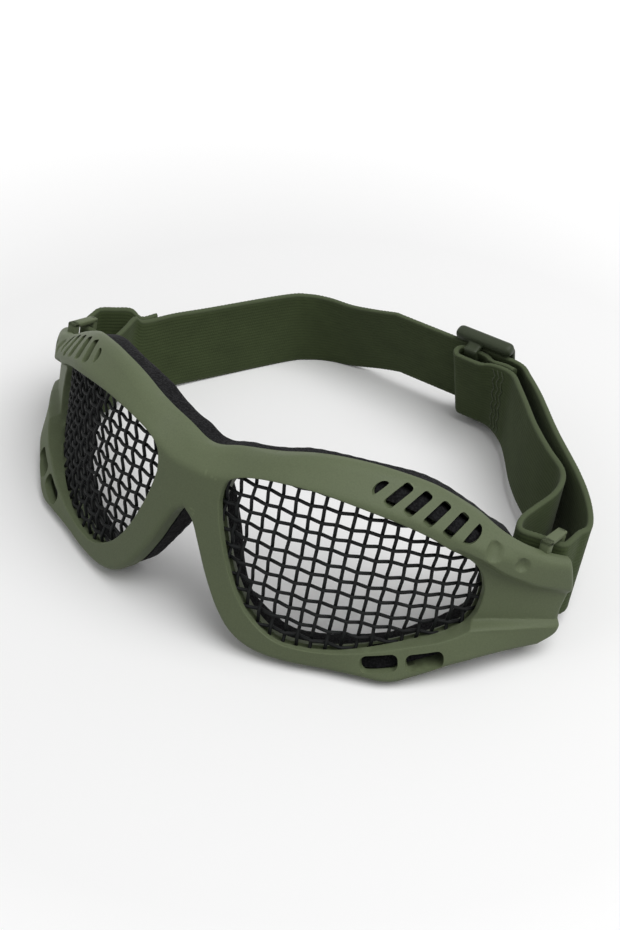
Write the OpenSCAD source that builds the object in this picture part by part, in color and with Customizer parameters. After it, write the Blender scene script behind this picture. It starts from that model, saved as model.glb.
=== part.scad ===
/* [Face frame] */
// Radius of the face wrap that the front of the frame follows
wrap_r = 105; // [100:1:112]
// Lean of the frame back from upright as it stands
lean = 18.5; // [14:0.5:23]
// Wall of the moulded frame
wall = 2; // [1.6:0.1:2.4]
// Depth of the frame from the front of the wrap to its back plane
frame_depth = 9.5; // [8.5:0.5:11]
// Height of the brow above the lowest point of the lobes
brow_z = 57; // [55:0.5:60]
// Height of the top of the bridge
bridge_z = 48.4; // [47:0.5:50]
// Height of the nose arch
nose_z = 32.1; // [29:0.5:34]
// Height of the lowest edge of the cheek lobes
lobe_z = 0.8; // [0:0.1:1.5]
// Reach of each temple round the wrap, from the middle
temple_s = 105; // [102:0.5:108]
// Radius that rounds the outer edge of the frame
edge_r = 1.6; // [1:0.1:2]
// Depth of the recessed temple panel
recess = 3.3; // [2:0.1:4]
// How far the cheek band flares out at its lower edge
flare = 2.6; // [1:0.1:3.5]
// Steepness of the brow band, as depth over height
brow_slope = 0.93; // [0.7:0.01:1.05]

/* [Lens openings] */
// Inner end of each lens opening round the wrap
lens_in_s = 10.2; // [9:0.1:12]
// Outer end of each lens opening round the wrap
lens_out_s = 82; // [78:0.5:84]
// Height of the top of the lens openings
lens_top_z = 49.7; // [48:0.1:50.5]
// Height of the bottom of the lens openings
lens_low_z = 5.8; // [5:0.1:8]
// Thickness of the rim in front of the mesh
rim_lip = 2; // [1.6:0.1:2.4]
// Depth of the groove that holds the edge of the mesh
groove_d = 1.2; // [0.9:0.1:1.4]

/* [Mesh lenses] */
// Radius that each mesh lens is bent to
mesh_r = 78; // [74:1:84]
// Thickness of the wire mesh over its crimps
mesh_t = 1.2; // [0.9:0.1:1.4]
// Width of one wire
wire_w = 0.8; // [0.6:0.05:1]
// Pitch of the wires in both directions
mesh_pitch = 3.7; // [3.6:0.1:4.5]
// Clearance of the mesh in its groove
mesh_clear = 0.15; // [0.1:0.05:0.3]

/* [Brow vents] */
// Number of long brow slots on each side
brow_slots = 4; // [2:1:4]
// Length of a brow slot down the band
slot_len = 6.8; // [5:0.1:7.5]
// Width of a brow slot
slot_w = 2.3; // [1.6:0.1:2.8]
// Place of the first slot round the wrap
slot_s = 54; // [52:0.5:56]
// Pitch of the slots round the wrap
slot_pitch = 5.2; // [4.4:0.1:5.6]
// Slant of the slots across the band
slot_skew = 37; // [25:1:45]

/* [Cheek vents] */
// Length of a cheek vent
cheek_len = 9.4; // [7:0.1:10]
// Height of a cheek vent
cheek_h = 3.8; // [3:0.1:4.4]
// Place of the first cheek vent round the wrap
cheek_s = 59; // [57:0.5:60]
// Pitch of the cheek vents round the wrap
cheek_pitch = 11.1; // [10.5:0.1:12]

/* [Face foam] */
// Thickness of the face foam behind the frame
foam_t = 9.4; // [7:0.2:12]
// Widest part of the foam ring
foam_w = 7; // [5:0.5:8]
// Set-back of the foam from the edge of the lens opening
foam_in = 3; // [2:0.1:3.6]
// Thickness of the foam strips behind the vents
vent_foam_t = 2.4; // [1.6:0.2:3]
// Gap between soft pieces and what holds them
seat_gap = 0.1; // [0.05:0.05:0.3]

/* [Strap bars] */
// Width of a strap bar and of its two arms
bar_w = 2.8; // [2.4:0.1:4]
// Depth of a strap bar
bar_d = 1.8; // [1.4:0.1:2.4]
// Thickness of the arms that carry a strap bar
arm_t = 1.5; // [1.2:0.1:2]
// Set-back of each bar from its temple end, round the wrap
bar_set = 1.4; // [1:0.1:2]
// Set-in of each bar from the wrap, towards the head
bar_in = 9.2; // [8.8:0.1:9.8]
// Play between each arm and the edge of the webbing
bar_play = 0.9; // [0.6:0.1:1.2]
// Middle height of the bars
bar_z = 30; // [29:0.2:31]

/* [Strap] */
// Width of the elastic webbing
strap_w = 25.4; // [24:0.2:26]
// Thickness of the elastic webbing
strap_t = 1.6; // [1.4:0.1:1.8]
// Play between the webbing and what it passes through
strap_play = 0.4; // [0.3:0.1:0.6]
// How far behind the face the straight back stretch of the strap lies
strap_reach = 123.7; // [118:0.1:130]
// Lean of the straight stretch towards the face
back_lean = 10; // [6:1:12]
// Height of the straight stretch above the floor
back_lift = 4.6; // [4:0.1:5]

/* [Slider] */
// Length of the slider along the strap
slider_l = 18.6; // [18:0.2:22]
// Height of the slider across the strap
slider_h = 33.6; // [32:0.2:34]
// Thickness of each slider bar
slider_t = 2; // [1.8:0.1:2.6]
// Width of each slider bar along the strap
slider_bar_w = 3.2; // [2.6:0.1:3.6]
// Place of the slider to the wearer's left of the middle
slider_x = 24.2; // [22:0.5:27]

/* [Hidden] */

olive = [0.30, 0.34, 0.25];
webbing_green = [0.17, 0.20, 0.13];
foam_black = [0.10, 0.10, 0.10];
mesh_black = [0.06, 0.07, 0.08];
thread_green = [0.22, 0.25, 0.17];

eps = 0.02;

// The face is drawn upright and unwrapped: s runs round the wrap from the middle, z up, and
// n outwards from the wrap. The next functions fold such a point round the wrap.
function wrap_angle(s) = s / wrap_r * 180 / PI;
function wrap_point(s, z, n) = let (a = wrap_angle(s))
    [(wrap_r + n) * sin(a), wrap_r - (wrap_r + n) * cos(a), z];

function ramp(x, a, b) = let (t = min(1, max(0, (x - a) / (b - a)))) t * t * (3 - 2 * t);
function mix(a, b, t) = a + (b - a) * t;
function soft_plus(x, w) = x > 4 * w ? x : x < -4 * w ? 0 : w * ln(1 + exp(x / w));

// Catmull-Rom curves through hand-chosen points, with the points in corners kept sharp.
function spline_point(a, b, c, d, t) =
    0.5 * (2 * b + (c - a) * t + (2 * a - 5 * b + 4 * c - d) * t * t
    + (3 * b - a - 3 * c + d) * t * t * t);
function is_in(i, list) = len([for (k = list) if (k == i) k]) > 0;
function loop_spline(pts, corners, steps) = let (n = len(pts)) [
    for (i = [0 : n - 1])
        let (b = pts[i], c = pts[(i + 1) % n],
            a = is_in(i, corners) ? 2 * b - c : pts[(i + n - 1) % n],
            d = is_in((i + 1) % n, corners) ? 2 * c - b : pts[(i + 2) % n])
        for (k = [0 : steps - 1]) spline_point(a, b, c, d, k / steps)
];
function open_spline(pts, steps) = let (n = len(pts)) concat([
    for (i = [0 : n - 2])
        let (b = pts[i], c = pts[i + 1],
            a = i == 0 ? 2 * b - c : pts[i - 1],
            d = i == n - 2 ? 2 * c - b : pts[i + 2])
        for (k = [0 : steps - 1]) spline_point(a, b, c, d, k / steps)
], [pts[n - 1]]);

// Matched stations round one lens: [s, z] on the edge of the opening and on the outline.
// They run along the brow, down the temple end, back along the cheek and up the bridge.
stations = [
    [[lens_in_s + 0.2, lens_top_z - 8.2], [0, bridge_z]],
    [[lens_in_s + 1.4, lens_top_z - 5], [9.4, bridge_z + 2.5]],
    [[lens_in_s + 5.8, lens_top_z - 2.4], [20.8, brow_z - 3.6]],
    [[lens_in_s + 14, lens_top_z - 0.6], [30, brow_z - 1.2]],
    [[lens_in_s + 26, lens_top_z], [39, brow_z]],
    [[lens_in_s + 40, lens_top_z - 1.6], [50, brow_z]],
    [[lens_out_s - 20, lens_top_z - 4.3], [63.5, brow_z - 2]],
    [[lens_out_s - 11, lens_top_z - 8.2], [75.5, brow_z - 6.6]],
    [[lens_out_s - 5, lens_top_z - 11.6], [84, brow_z - 11]],
    [[lens_out_s - 1.8, lens_top_z - 15], [temple_s - 10.5, brow_z - 14.6]],
    [[lens_out_s - 0.4, lens_top_z - 18.4], [temple_s - 1.8, brow_z - 16.4]],
    [[lens_out_s, lens_top_z - 20.8], [temple_s + 0.8, brow_z - 24.6]],
    [[lens_out_s - 0.2, lens_low_z + 19.4], [temple_s, brow_z - 31]],
    [[lens_out_s - 1.2, lens_low_z + 16.2], [temple_s - 0.4, lobe_z + 19]],
    [[lens_out_s - 3.8, lens_low_z + 13.4], [temple_s - 5.2, lobe_z + 15.3]],
    [[lens_out_s - 9.7, lens_low_z + 10.4], [86, lobe_z + 12.8]],
    [[lens_out_s - 15.5, lens_low_z + 8.4], [77.4, lobe_z + 10.2]],
    [[lens_out_s - 21.5, lens_low_z + 6.2], [69, lobe_z + 6]],
    [[lens_out_s - 28, lens_low_z + 3.8], [62.8, lobe_z + 2.8]],
    [[lens_out_s - 35, lens_low_z + 1.6], [55, lobe_z + 2.2]],
    [[lens_out_s - 43, lens_low_z + 0.2], [45.6, lobe_z + 1]],
    [[lens_in_s + 21, lens_low_z + 0.4], [36, lobe_z]],
    [[lens_in_s + 14, lens_low_z + 4.2], [27, lobe_z]],
    [[lens_in_s + 9.2, lens_low_z + 9.4], [20, lobe_z + 2.4]],
    [[lens_in_s + 5.6, lens_low_z + 15.6], [14.6, lobe_z + 7.6]],
    [[lens_in_s + 3, lens_low_z + 21.8], [9.6, lobe_z + 15.6]],
    [[lens_in_s + 1.4, lens_low_z + 26.4], [6, nose_z - 8.4]],
    [[lens_in_s + 0.5, lens_low_z + 30], [3, nose_z - 2.6]],
    [[lens_in_s, lens_low_z + 32.4], [0, nose_z]],
    [[lens_in_s, lens_top_z - 10.8], [0, mix(nose_z, bridge_z, 0.5)]]
];
brow_start = 0;
temple_top = 10;
temple_low = 14;
nose_mid = 28;
station_steps = 3;
opening = loop_spline([for (p = stations) p[0]], [], station_steps);
outline = loop_spline([for (p = stations) p[1]], [brow_start, temple_top, temple_low, nose_mid],
    station_steps);
ring_n = len(opening);
seam_from = nose_mid * station_steps;
outline_edge = [for (i = [0 : seam_from]) outline[i]];

// Distance from a point to the free outline, for the rounding of its edge.
function to_segment(p, a, b) = let (ab = b - a,
    t = min(1, max(0, (p - a) * ab / max(ab * ab, eps * eps))))
    norm(p - a - t * ab);
function to_outline(p) = min([for (i = [0 : len(outline_edge) - 2])
    to_segment(p, outline_edge[i], outline_edge[i + 1])]);
function edge_drop(d, r) = d >= r ? 0 : r - sqrt(max(0, r * r - (r - d) * (r - d)));

// Lines on the face, as [s, z] pairs: where the brow band starts to roll back, the ridge
// under it along the temple, and the ridge over the cheek band.
brow_roll = [[0, brow_z - 13], [9, brow_z - 12.4], [13, brow_z - 10.2], [18, brow_z - 8.4],
    [24, brow_z - 7.2], [36, brow_z - 6.6], [46, brow_z - 6.8], [52, brow_z - 7.4],
    [58, brow_z - 8.2], [64.5, brow_z - 9.6],
    [70, brow_z - 11.4], [76, brow_z - 13], [84, brow_z - 15.6], [94, brow_z - 17],
    [temple_s, brow_z - 18]];
brow_ridge = [[60, brow_z - 13.4], [72, brow_z - 15], [78, brow_z - 17.2], [85, brow_z - 20.6],
    [94, brow_z - 23.6], [temple_s, brow_z - 25.4]];
cheek_ridge = [[60, lobe_z + 15], [72, lobe_z + 18], [78, lobe_z + 19.8], [86, lobe_z + 21],
    [96, lobe_z + 21.7], [temple_s, lobe_z + 21.7]];
cheek_fall = [[40, lobe_z + 6], [50, lobe_z + 8.5], [60, lobe_z + 12], [70, lobe_z + 16],
    [80, lobe_z + 19], [95, lobe_z + 20]];
ridge_w = 1.6;
recess_from = temple_s - 39;
recess_full = temple_s - 25;
recess_end = 1.5;
flare_from = temple_s - 63;
flare_full = temple_s - 45;
flare_fades = temple_s - 27;
flare_ends = temple_s - 7;
bridge_slope = 1.35;
temple_slope = 0.4;

function recess_at(s) = recess * ramp(s, recess_from, recess_full)
    - (recess - recess_end) * ramp(s, recess_full, temple_s);
function flare_at(s) = flare * ramp(s, flare_from, flare_full)
    * (1 - ramp(s, flare_fades, flare_ends));

// Front of the frame without its rounded edges: recess, brow band and cheek band.
function face_n(s, z) =
    let (over = ramp(z - lookup(s, brow_ridge), -ridge_w / 2, ridge_w / 2),
        under = ramp(lookup(s, cheek_ridge) - z, -ridge_w / 2, ridge_w / 2),
        roll = soft_plus(z - lookup(s, brow_roll), 0.5)
            * mix(mix(bridge_slope, brow_slope, ramp(s, 10, 38)), temple_slope, ramp(s, 78, 92)),
        out = min(1, max(0, (lookup(s, cheek_fall) - z) / 9)))
    -recess_at(s) * (1 - over) * (1 - under) - roll + flare_at(s) * out;
function front_n(s, z) = face_n(s, z) - edge_drop(to_outline([s, z]), edge_r);

// The arc of the mesh lens, and its place along the normal of the wrap.
mesh_centre_x = 6.8;
mesh_centre_y = let (p = wrap_point(45, 0, -rim_lip - mesh_t / 2 - mesh_clear))
    p.y + sqrt(mesh_r * mesh_r - (p.x - mesh_centre_x) * (p.x - mesh_centre_x));
function mesh_n(s) = let (a = wrap_angle(s), c = [mesh_centre_x, mesh_centre_y - wrap_r],
    along = c.x * sin(a) - c.y * cos(a))
    along + sqrt(mesh_r * mesh_r - c * c + along * along) - wrap_r;
groove_half = mesh_t / 2 + mesh_clear;

// Cross-sections of the frame: front from the opening out to the outline, side wall, the
// hollow behind the front, and the inner wall with the groove for the mesh.
front_steps = [0, 0.05, 0.14, 0.28, 0.42, 0.56, 0.7, 0.82, 0.92, 0.97, 1];
roof_q = [0.35, 0.65];
hollow_min = 0.5;
hollow_from = 2 * wall + 1.6;
hollow_full = hollow_from + 3.4;
thin_from = temple_s - 37;
thin_full = temple_s - 17;
thin_wall = 1.5;
draft = 0.8;
lip_back = 0.3;
shallow = 6;
shallow_z = lens_low_z + 2;
deepening = 20;
deep_z = shallow_z + deepening;
function back_n(z) = -mix(shallow, frame_depth, ramp(z, shallow_z, deep_z));
function ring_point(i, q, n) = let (p = mix(opening[i], outline[i], q)) wrap_point(p[0], p[1], n);
function frame_section(i) =
    let (a = opening[i], b = outline[i], width = norm(b - a),
        qw = wall / width, qg = groove_d / width,
        hollow = ramp(width, hollow_from, hollow_full),
        thin = ramp(b[0], thin_from, thin_full),
        skin_t = mix(wall, thin_wall, thin),
        top = front_n(b[0], b[1]),
        side = mix(back_n(b[1]), top - skin_t - lip_back, thin),
        skin = function (q) let (p = mix(a, b, q))
            mix(back_n(p[1]) + hollow_min, face_n(p[0], p[1]) - skin_t, hollow),
        roof_out = max(min(skin(1 - qw), top - skin_t), side + hollow_min / 2),
        bottom = back_n(a[1]), gm = mesh_n(a[0]), gm_out = mesh_n(mix(a, b, qg)[0]))
    concat(
        [for (q = front_steps) let (p = mix(a, b, q)) ring_point(i, q, front_n(p[0], p[1]))],
        [ring_point(i, 1, side), ring_point(i, 1 - qw, side), ring_point(i, 1 - qw, roof_out),
        ring_point(i, roof_q[1], skin(roof_q[1])), ring_point(i, roof_q[0], skin(roof_q[0])),
        ring_point(i, qw, skin(qw)), ring_point(i, qw, bottom),
        ring_point(i, draft / width, bottom), ring_point(i, 0, gm - groove_half),
        ring_point(i, qg, gm_out - groove_half), ring_point(i, qg, gm_out + groove_half),
        ring_point(i, 0, gm + groove_half)]
    );

// Closed solid through a list of sections; a ring closes on itself, a strip has end caps.
module loft(rows, ring) {
    n = len(rows);
    m = len(rows[0]);
    last = ring ? n - 1 : n - 2;
    sides = [for (i = [0 : last], j = [0 : m - 1])
        let (a = i * m + j, b = i * m + (j + 1) % m, c = ((i + 1) % n) * m + (j + 1) % m,
            d = ((i + 1) % n) * m + j)
        each [[a, b, c], [a, c, d]]];
    caps = ring ? [] : [
        [for (j = [m - 1 : -1 : 0]) j],
        [for (j = [0 : m - 1]) (n - 1) * m + j]
    ];
    polyhedron([for (r = rows) each r], concat(sides, caps));
}

module both_sides() {
    children();
    mirror([1, 0, 0]) children();
}

// Stands the upright face on the floor, leaning back.
face_front = 66.5;
function face_low(p) = -p.y * sin(lean) + p.z * cos(lean);
function stand_point(p) = [p.x, p.y * cos(lean) + p.z * sin(lean) - face_front,
    face_low(p) + face_lift];
module stand() {
    translate([0, -face_front, face_lift]) rotate([-lean, 0, 0]) children();
}

// A shape set on the face at a point of the wrap: its Z leaves the face, tilted up by tilt,
// and its Y runs up the face.
module on_face(s, z, n, tilt) {
    translate(wrap_point(s, z, n)) rotate([0, 0, wrap_angle(s)]) rotate([90 - tilt, 0, 0])
        children();
}

module stadium(length, width) {
    square([width, length - width], center = true);
    for (e = [-1, 1]) translate([0, e * (length - width) / 2]) circle(d = width, $fn = 24);
}

// Height of the brow slots follows the brow band down to the temple.
slot_line = [[48, brow_z - 2.8], [54, brow_z - 4], [59.4, brow_z - 5.2], [64.4, brow_z - 6.8],
    [69.5, brow_z - 8.8], [75, brow_z - 10.9]];
function slot_z(s) = lookup(s, slot_line);
vent_reach = 5;
brow_tilt = 46;
module brow_cut(s, length, width, skew) {
    on_face(s, slot_z(s), face_n(s, slot_z(s)), brow_tilt) rotate([0, 0, -skew])
        linear_extrude(2 * vent_reach, center = true) stadium(length, width);
}

tear_len = 4;
tear_w = 2.1;
dimple_r = 5;
dimple_sink = 0.7;
dimples = [[80.6, brow_z - 14.2], [88.6, brow_z - 17]];
module brow_vents() {
    brow_cut(slot_s - slot_pitch, tear_len, tear_w, slot_skew);
    for (k = [0 : brow_slots - 1])
        brow_cut(slot_s + k * slot_pitch, slot_len, slot_w, slot_skew);
    brow_cut(slot_s + brow_slots * slot_pitch, tear_len + 0.6, tear_w + 0.4, slot_skew);
    for (d = dimples)
        translate(wrap_point(d[0], d[1], face_n(d[0], d[1]) + dimple_r - dimple_sink))
            sphere(dimple_r, $fn = 32);
}

cheek_tilt = -8;
cheek_slope = 16;
function cheek_z(k) = lobe_z + 7.6 + k * 2.7;
module cheek_vents() {
    for (k = [0, 1])
        on_face(cheek_s + k * cheek_pitch, cheek_z(k), 0, cheek_tilt)
            rotate([0, 0, -90 + cheek_slope])
            linear_extrude(2 * (frame_depth - wall), center = true) stadium(cheek_len, cheek_h);
}

// Bar at the temple that carries the strap, on two arms from the wall. With another wrap the
// bar, its arms and the webbing round it turn together, to stay along the temple.
bar_gap = strap_w + 2 * bar_play;
bar_top_z = bar_z + bar_gap / 2;
bar_low_z = bar_z - bar_gap / 2 - arm_t;
bar_at = wrap_point(temple_s - bar_set, bar_z, -bar_in);
bar_along = 56.5;
bar_swing = wrap_angle(temple_s - bar_set) - bar_along;
arm_reach = 9.6;
arm_low_reach = 12.6;
riser_t = 2.6;
riser_h = 5;
module strap_bar() {
    back = bar_d / 2;
    low = bar_low_z - bar_z;
    top = bar_top_z - bar_z;
    translate(bar_at) rotate([0, 0, bar_swing]) translate([-bar_w / 2, 0, 0]) {
        translate([0, -back, low]) cube([bar_w, bar_d, bar_gap + 2 * arm_t]);
        translate([0, -arm_reach, top]) cube([bar_w, arm_reach + back, arm_t]);
        translate([0, -arm_reach, top - riser_h]) cube([bar_w, riser_t, riser_h + arm_t]);
        translate([0, -arm_low_reach, low]) cube([bar_w, arm_low_reach + back, arm_t]);
        translate([0, -arm_low_reach, low]) cube([bar_w, riser_t, riser_h]);
    }
}

frame_rows = [for (i = [0 : ring_n - 1]) frame_section(i)];
flat_depth = 0.4;
face_lift = -flat_depth - min([for (r = frame_rows, p = r) face_low(p)]);
module frame() {
    color(olive) above_floor() stand() difference() {
        both_sides() {
            loft(frame_rows, true);
            strap_bar();
        }
        both_sides() {
            brow_vents();
            cheek_vents();
        }
    }
}

// Foam ring behind the frame, with a crowned back.
foam_low_t = 6.6;
foam_low_in = 1.6;
foam_nose_in = 1.6;
foam_round = 2.6;
function foam_section(i) =
    let (a = opening[i], b = outline[i], width = norm(b - a),
        middle = i > seam_from || i == 0,
        inner = mix(foam_low_in, foam_in, ramp(a[1], shallow_z, shallow_z + 6))
            + foam_nose_in * (1 - ramp(a[0], lens_in_s + 3, lens_in_s + 14)),
        past = mix(-0.9, 0.4, ramp(b[1], lobe_z + 0.4, lobe_z + 8)),
        reach = middle ? width
            : min(mix(width + past, width - 2.4, ramp(width, 7, 12)), foam_w + foam_in),
        crown = middle ? 0 : min(foam_round, (reach - inner) / 2),
        at = function (d, depth) let (z = mix(a, b, d / width)[1])
            ring_point(i, d / width, back_n(z) - seat_gap
            - depth * mix(foam_low_t, foam_t, ramp(z, shallow_z, deep_z))))
    [
        at(inner, 0),
        at(reach, 0),
        at(reach, 0.65),
        at(reach - crown * 0.3, 0.9),
        at(reach - crown, 1),
        at(inner, 0.84)
    ];
foam_rows = [for (i = [0 : ring_n - 1]) foam_section(i)];
module face_foam() {
    color(foam_black) above_floor() stand() both_sides() loft(foam_rows, true);
}

// Foam strips that lie in the hollows behind the vents.
brow_strip = [5 * station_steps - 1, 7 * station_steps + 2];
cheek_strip = [16 * station_steps - 2, 18 * station_steps + 2];
function strip_section(i) =
    let (p = [for (q = roof_q) mix(opening[i], outline[i], q)],
        n = [for (a = p) face_n(a[0], a[1]) - wall - 3 * seat_gap])
    [
        ring_point(i, roof_q[0], n[0]), ring_point(i, roof_q[1], n[1]),
        ring_point(i, roof_q[1], max(n[1] - vent_foam_t, back_n(p[1][1]))),
        ring_point(i, roof_q[0], max(n[0] - vent_foam_t, back_n(p[0][1])))
    ];
module vent_strip(side, span) {
    color(foam_black) stand() mirror([side < 0 ? 1 : 0, 0, 0])
        loft([for (i = [span[0] : span[1]]) strip_section(i)], false);
}
module brow_vent_foam(side) { vent_strip(side, brow_strip); }
module cheek_vent_foam(side) { vent_strip(side, cheek_strip); }

// Each mesh lens is a bent sheet with a square hole between every four wires.
mesh_edge = groove_d - mesh_clear;
function edge_slant(s) = let (turn = asin((wrap_point(s, 0, mesh_n(s)).x - mesh_centre_x) / mesh_r))
    mesh_t / 2 / cos(turn) * sin(wrap_angle(s));
function pushed_out(i) = let (d = outline[i] - opening[i], way = d / norm(d))
    opening[i] + way * (mesh_edge - edge_slant(opening[i][0]) * abs(way[0]));
mesh_outline = [for (i = [0 : ring_n - 1]) let (p = pushed_out(i), w = wrap_point(p[0], p[1],
    mesh_n(p[0]))) [w.x, p[1]]];
mesh_step = mesh_pitch / mesh_r * 180 / PI;
mesh_gap = mesh_pitch - wire_w;
mesh_columns = ceil((lens_out_s - lens_in_s) / mesh_pitch);
mesh_rows = ceil((lens_top_z - lens_low_z) / mesh_pitch);
function mesh_x(turn) = mesh_centre_x + mesh_r * sin(turn);
function is_inside(p, pts) = len([for (i = [0 : len(pts) - 1])
    let (a = pts[i], b = pts[(i + 1) % len(pts)])
    if ((a[1] > p[1]) != (b[1] > p[1])
        && p[0] < a[0] + (b[0] - a[0]) * (p[1] - a[1]) / (b[1] - a[1])) i]) % 2 == 1;
opening_outline = [for (p = opening) [wrap_point(p[0], 0, mesh_n(p[0])).x, p[1]]];
function is_open_cell(turn, z) = let (half = mesh_step * mesh_gap / mesh_pitch / 2)
    min([for (u = [-half, half], v = [-mesh_gap / 2, mesh_gap / 2])
        is_inside([mesh_x(turn + u), z + v], opening_outline) ? 1 : 0]) == 1;
mesh_cells = [for (c = [0 : mesh_columns], r = [0 : mesh_rows])
    let (turn = (c + 1.45) * mesh_step, z = lens_low_z + (r + 0.2) * mesh_pitch)
    if (is_open_cell(turn, z)) [turn, z]];
mesh_room = 70;
module mesh_sheet() {
    intersection() {
        translate([mesh_centre_x, mesh_centre_y, 0]) difference() {
            cylinder(r = mesh_r + mesh_t / 2, h = mesh_room, $fn = 180);
            translate([0, 0, -1])
                cylinder(r = mesh_r - mesh_t / 2, h = mesh_room + 2, $fn = 180);
        }
        translate([0, mesh_room, 0]) rotate([90, 0, 0])
            linear_extrude(mesh_room + 10) polygon(mesh_outline);
    }
}
module mesh_lens(side) {
    color(mesh_black) stand() mirror([side < 0 ? 1 : 0, 0, 0]) difference() {
        mesh_sheet();
        for (p = mesh_cells)
            translate([mesh_centre_x, mesh_centre_y, p[1]]) rotate([0, 0, p[0]])
                translate([-mesh_gap / 2, -mesh_r - 2 * mesh_t, -mesh_gap / 2])
                cube([mesh_gap, 4 * mesh_t, mesh_gap]);
    }
}

// The webbing is a ribbon through stations [x, y, z, tilt]: a point on its lower edge, and
// how far its upper edge leans back.
back_y = strap_reach - face_front;
bar_clear = bar_d / 2 + strap_play + strap_t / 2;
low_z = bar_z - strap_w / 2;
function at_bar(dx, dy) =
    let (c = cos(bar_swing), k = sin(bar_swing), y = dy - bar_clear,
        p = stand_point([bar_at.x + dx * c - y * k, bar_at.y + dx * k + y * c,
            low_z + dy * tan(lean)]))
    [p.x, p.y, p.z, lean];
function flip(p) = [-p.x, p.y, p.z, p[3]];
function on_line(x) = [x, back_y, back_lift, -back_lean];
line_from = slider_x - slider_l / 2 - 21.4;
line_to = slider_x + slider_l / 2 + 0.8;

// Station on a side of the strap, by its shares of the way from the straight stretch out to
// the bar and from the bar back to the straight stretch.
bar_start = at_bar(0, 0);
function on_right(out, back, z, tilt) =
    [mix(line_from, -bar_start.x, out), mix(bar_start.y, back_y, back), z, tilt];
function on_left(out, back, z, tilt) =
    [mix(line_to, bar_start.x, out), mix(bar_start.y, back_y, back), z, tilt];

// Round the bar, from its inner side over its front to its outer side.
bar_turn = [[-8.4, -1.2], [-3.9, -0.5], [0, -0.2], [2.3, 0.5], [2.9, 2.8], [3.3, 6]];
bar_turn_at = [for (p = bar_turn) at_bar(p[0], p[1])];
function reversed(list) = [for (i = [len(list) - 1 : -1 : 0]) list[i]];

// Stations of the strap from the wearer's right bar round the back to the left bar.
right_run = [
    flip(at_bar(-8.7, 11.4)), on_right(0.862, 0.223, 3.4, 15), on_right(0.797, 0.36, 2.4, 12),
    on_right(0.707, 0.517, 1.2, 7), on_right(0.505, 0.827, 0.1, 2),
    on_right(0.429, 0.907, -0.2, 0), on_right(0.342, 0.956, -0.2, -3),
    on_right(0.225, 0.981, 0.6, -7), on_right(0.102, 0.997, 2.8, -back_lean)
];
left_run = [
    on_left(0.081, 0.973, back_lift, -8), on_left(0.164, 0.91, back_lift, -5),
    on_left(0.316, 0.779, back_lift, 2), on_left(0.561, 0.582, back_lift + 0.2, 8),
    on_left(0.844, 0.387, back_lift + 0.3, 13), on_left(1.006, 0.254, back_lift + 0.3, 16),
    at_bar(4.2, 10)
];
// Station beside the outer face of the strap, where the folded end is sewn down.
sewn_gap = 0.5;
function beside(k) =
    let (p = right_run[k], way = right_run[k + 1] - right_run[k - 1], flat = [way.x, way.y],
        out = [-way.y, way.x] / norm(flat) * (strap_t + sewn_gap))
    [p.x + out.x, p.y + out.y, p.z, p[3]];
sewn_loop = concat([beside(2), beside(1), flip(at_bar(-4.8, 13.8)), flip(at_bar(-0.4, 11.4)),
    flip(at_bar(3.2, 8.8))], [for (p = reversed(bar_turn_at)) flip(p)],
    [flip(at_bar(-10.2, 1.6)), flip(at_bar(-9.6, 6.4))]);
free_loop = concat(reversed(bar_turn_at),
    [at_bar(-10.4, -0.2), at_bar(-11.2, 3.2), at_bar(-10.4, 8)]);

// Place on the slider's own axes: along the strap, out of its outer face, up its width.
function slider_point(x, out, up) = [x, back_y + out * cos(back_lean) - up * sin(back_lean),
    back_lift + out * sin(back_lean) + up * cos(back_lean)];
module at_slider() {
    translate([slider_x, back_y, back_lift]) rotate([back_lean, 0, 0]) children();
}

// Layers at the slider, by their distance out of the middle of the strap.
rear_layer = -strap_t - strap_play + 0.1;
mid_bar_from = rear_layer - strap_t / 2 - strap_play - slider_t;
front_layer = mid_bar_from - strap_play - strap_t / 2;
fold_r = (rear_layer - front_layer) / 2;
mid_bar_w = 6;
mid_bar_x = -slider_l / 2 + 5;
fold_x = slider_x + mid_bar_x - 0.6;
seam_gap = 0.15;
tail_layer = front_layer + strap_t + seam_gap;
function fold_station(x, out) = let (p = slider_point(x, out, 0)) [p.x, p.y, p.z, -back_lean];
// The strand comes in slanting from the left bar, folds back round the middle bar, and its
// tail lies against the strand where it is sewn down.
fold_path = concat(
    [fold_station(slider_x + 11.6, front_layer - 5.1),
    fold_station(slider_x + 8.4, front_layer - 2.6),
    fold_station(slider_x + 5.2, front_layer - 0.7),
    fold_station(slider_x + 2, front_layer)],
    [for (a = [-90 : -30 : -270]) fold_station(fold_x + fold_r * cos(a),
        (rear_layer + front_layer) / 2 + fold_r * sin(a))],
    [fold_station(slider_x + 1.6, rear_layer),
    fold_station(slider_x + 4.4, rear_layer - 1.3),
    fold_station(slider_x + 6.4, tail_layer - 0.55),
    fold_station(slider_x + 9.5, tail_layer - 2.95),
    fold_station(slider_x + 11.9, tail_layer - 4.85)]
);
return_run = [
    on_left(0.809, 0.217, back_lift, 17), on_left(0.8, 0.303, back_lift, 15),
    on_left(0.734, 0.374, back_lift, 13), on_left(0.594, 0.464, back_lift, 9),
    on_left(0.355, 0.631, back_lift, 2), on_left(0.204, 0.739, back_lift, -5),
    fold_station(slider_x + 14.6, front_layer - 7.5),
    fold_station(slider_x + 12, front_layer - 5.4)
];

// The whole length of webbing from its sewn end to the slider, and where its nodes part.
webbing = concat(sewn_loop, right_run,
    [for (x = [line_from, line_from + 2, (line_from + line_to) / 2, line_to - 2, line_to])
    on_line(x)], left_run, free_loop, return_run);
band_starts = len(sewn_loop);
loop_starts = len(webbing) - len(return_run) - len(free_loop) - 1;
return_starts = len(webbing) - len(return_run) - 1;

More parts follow.
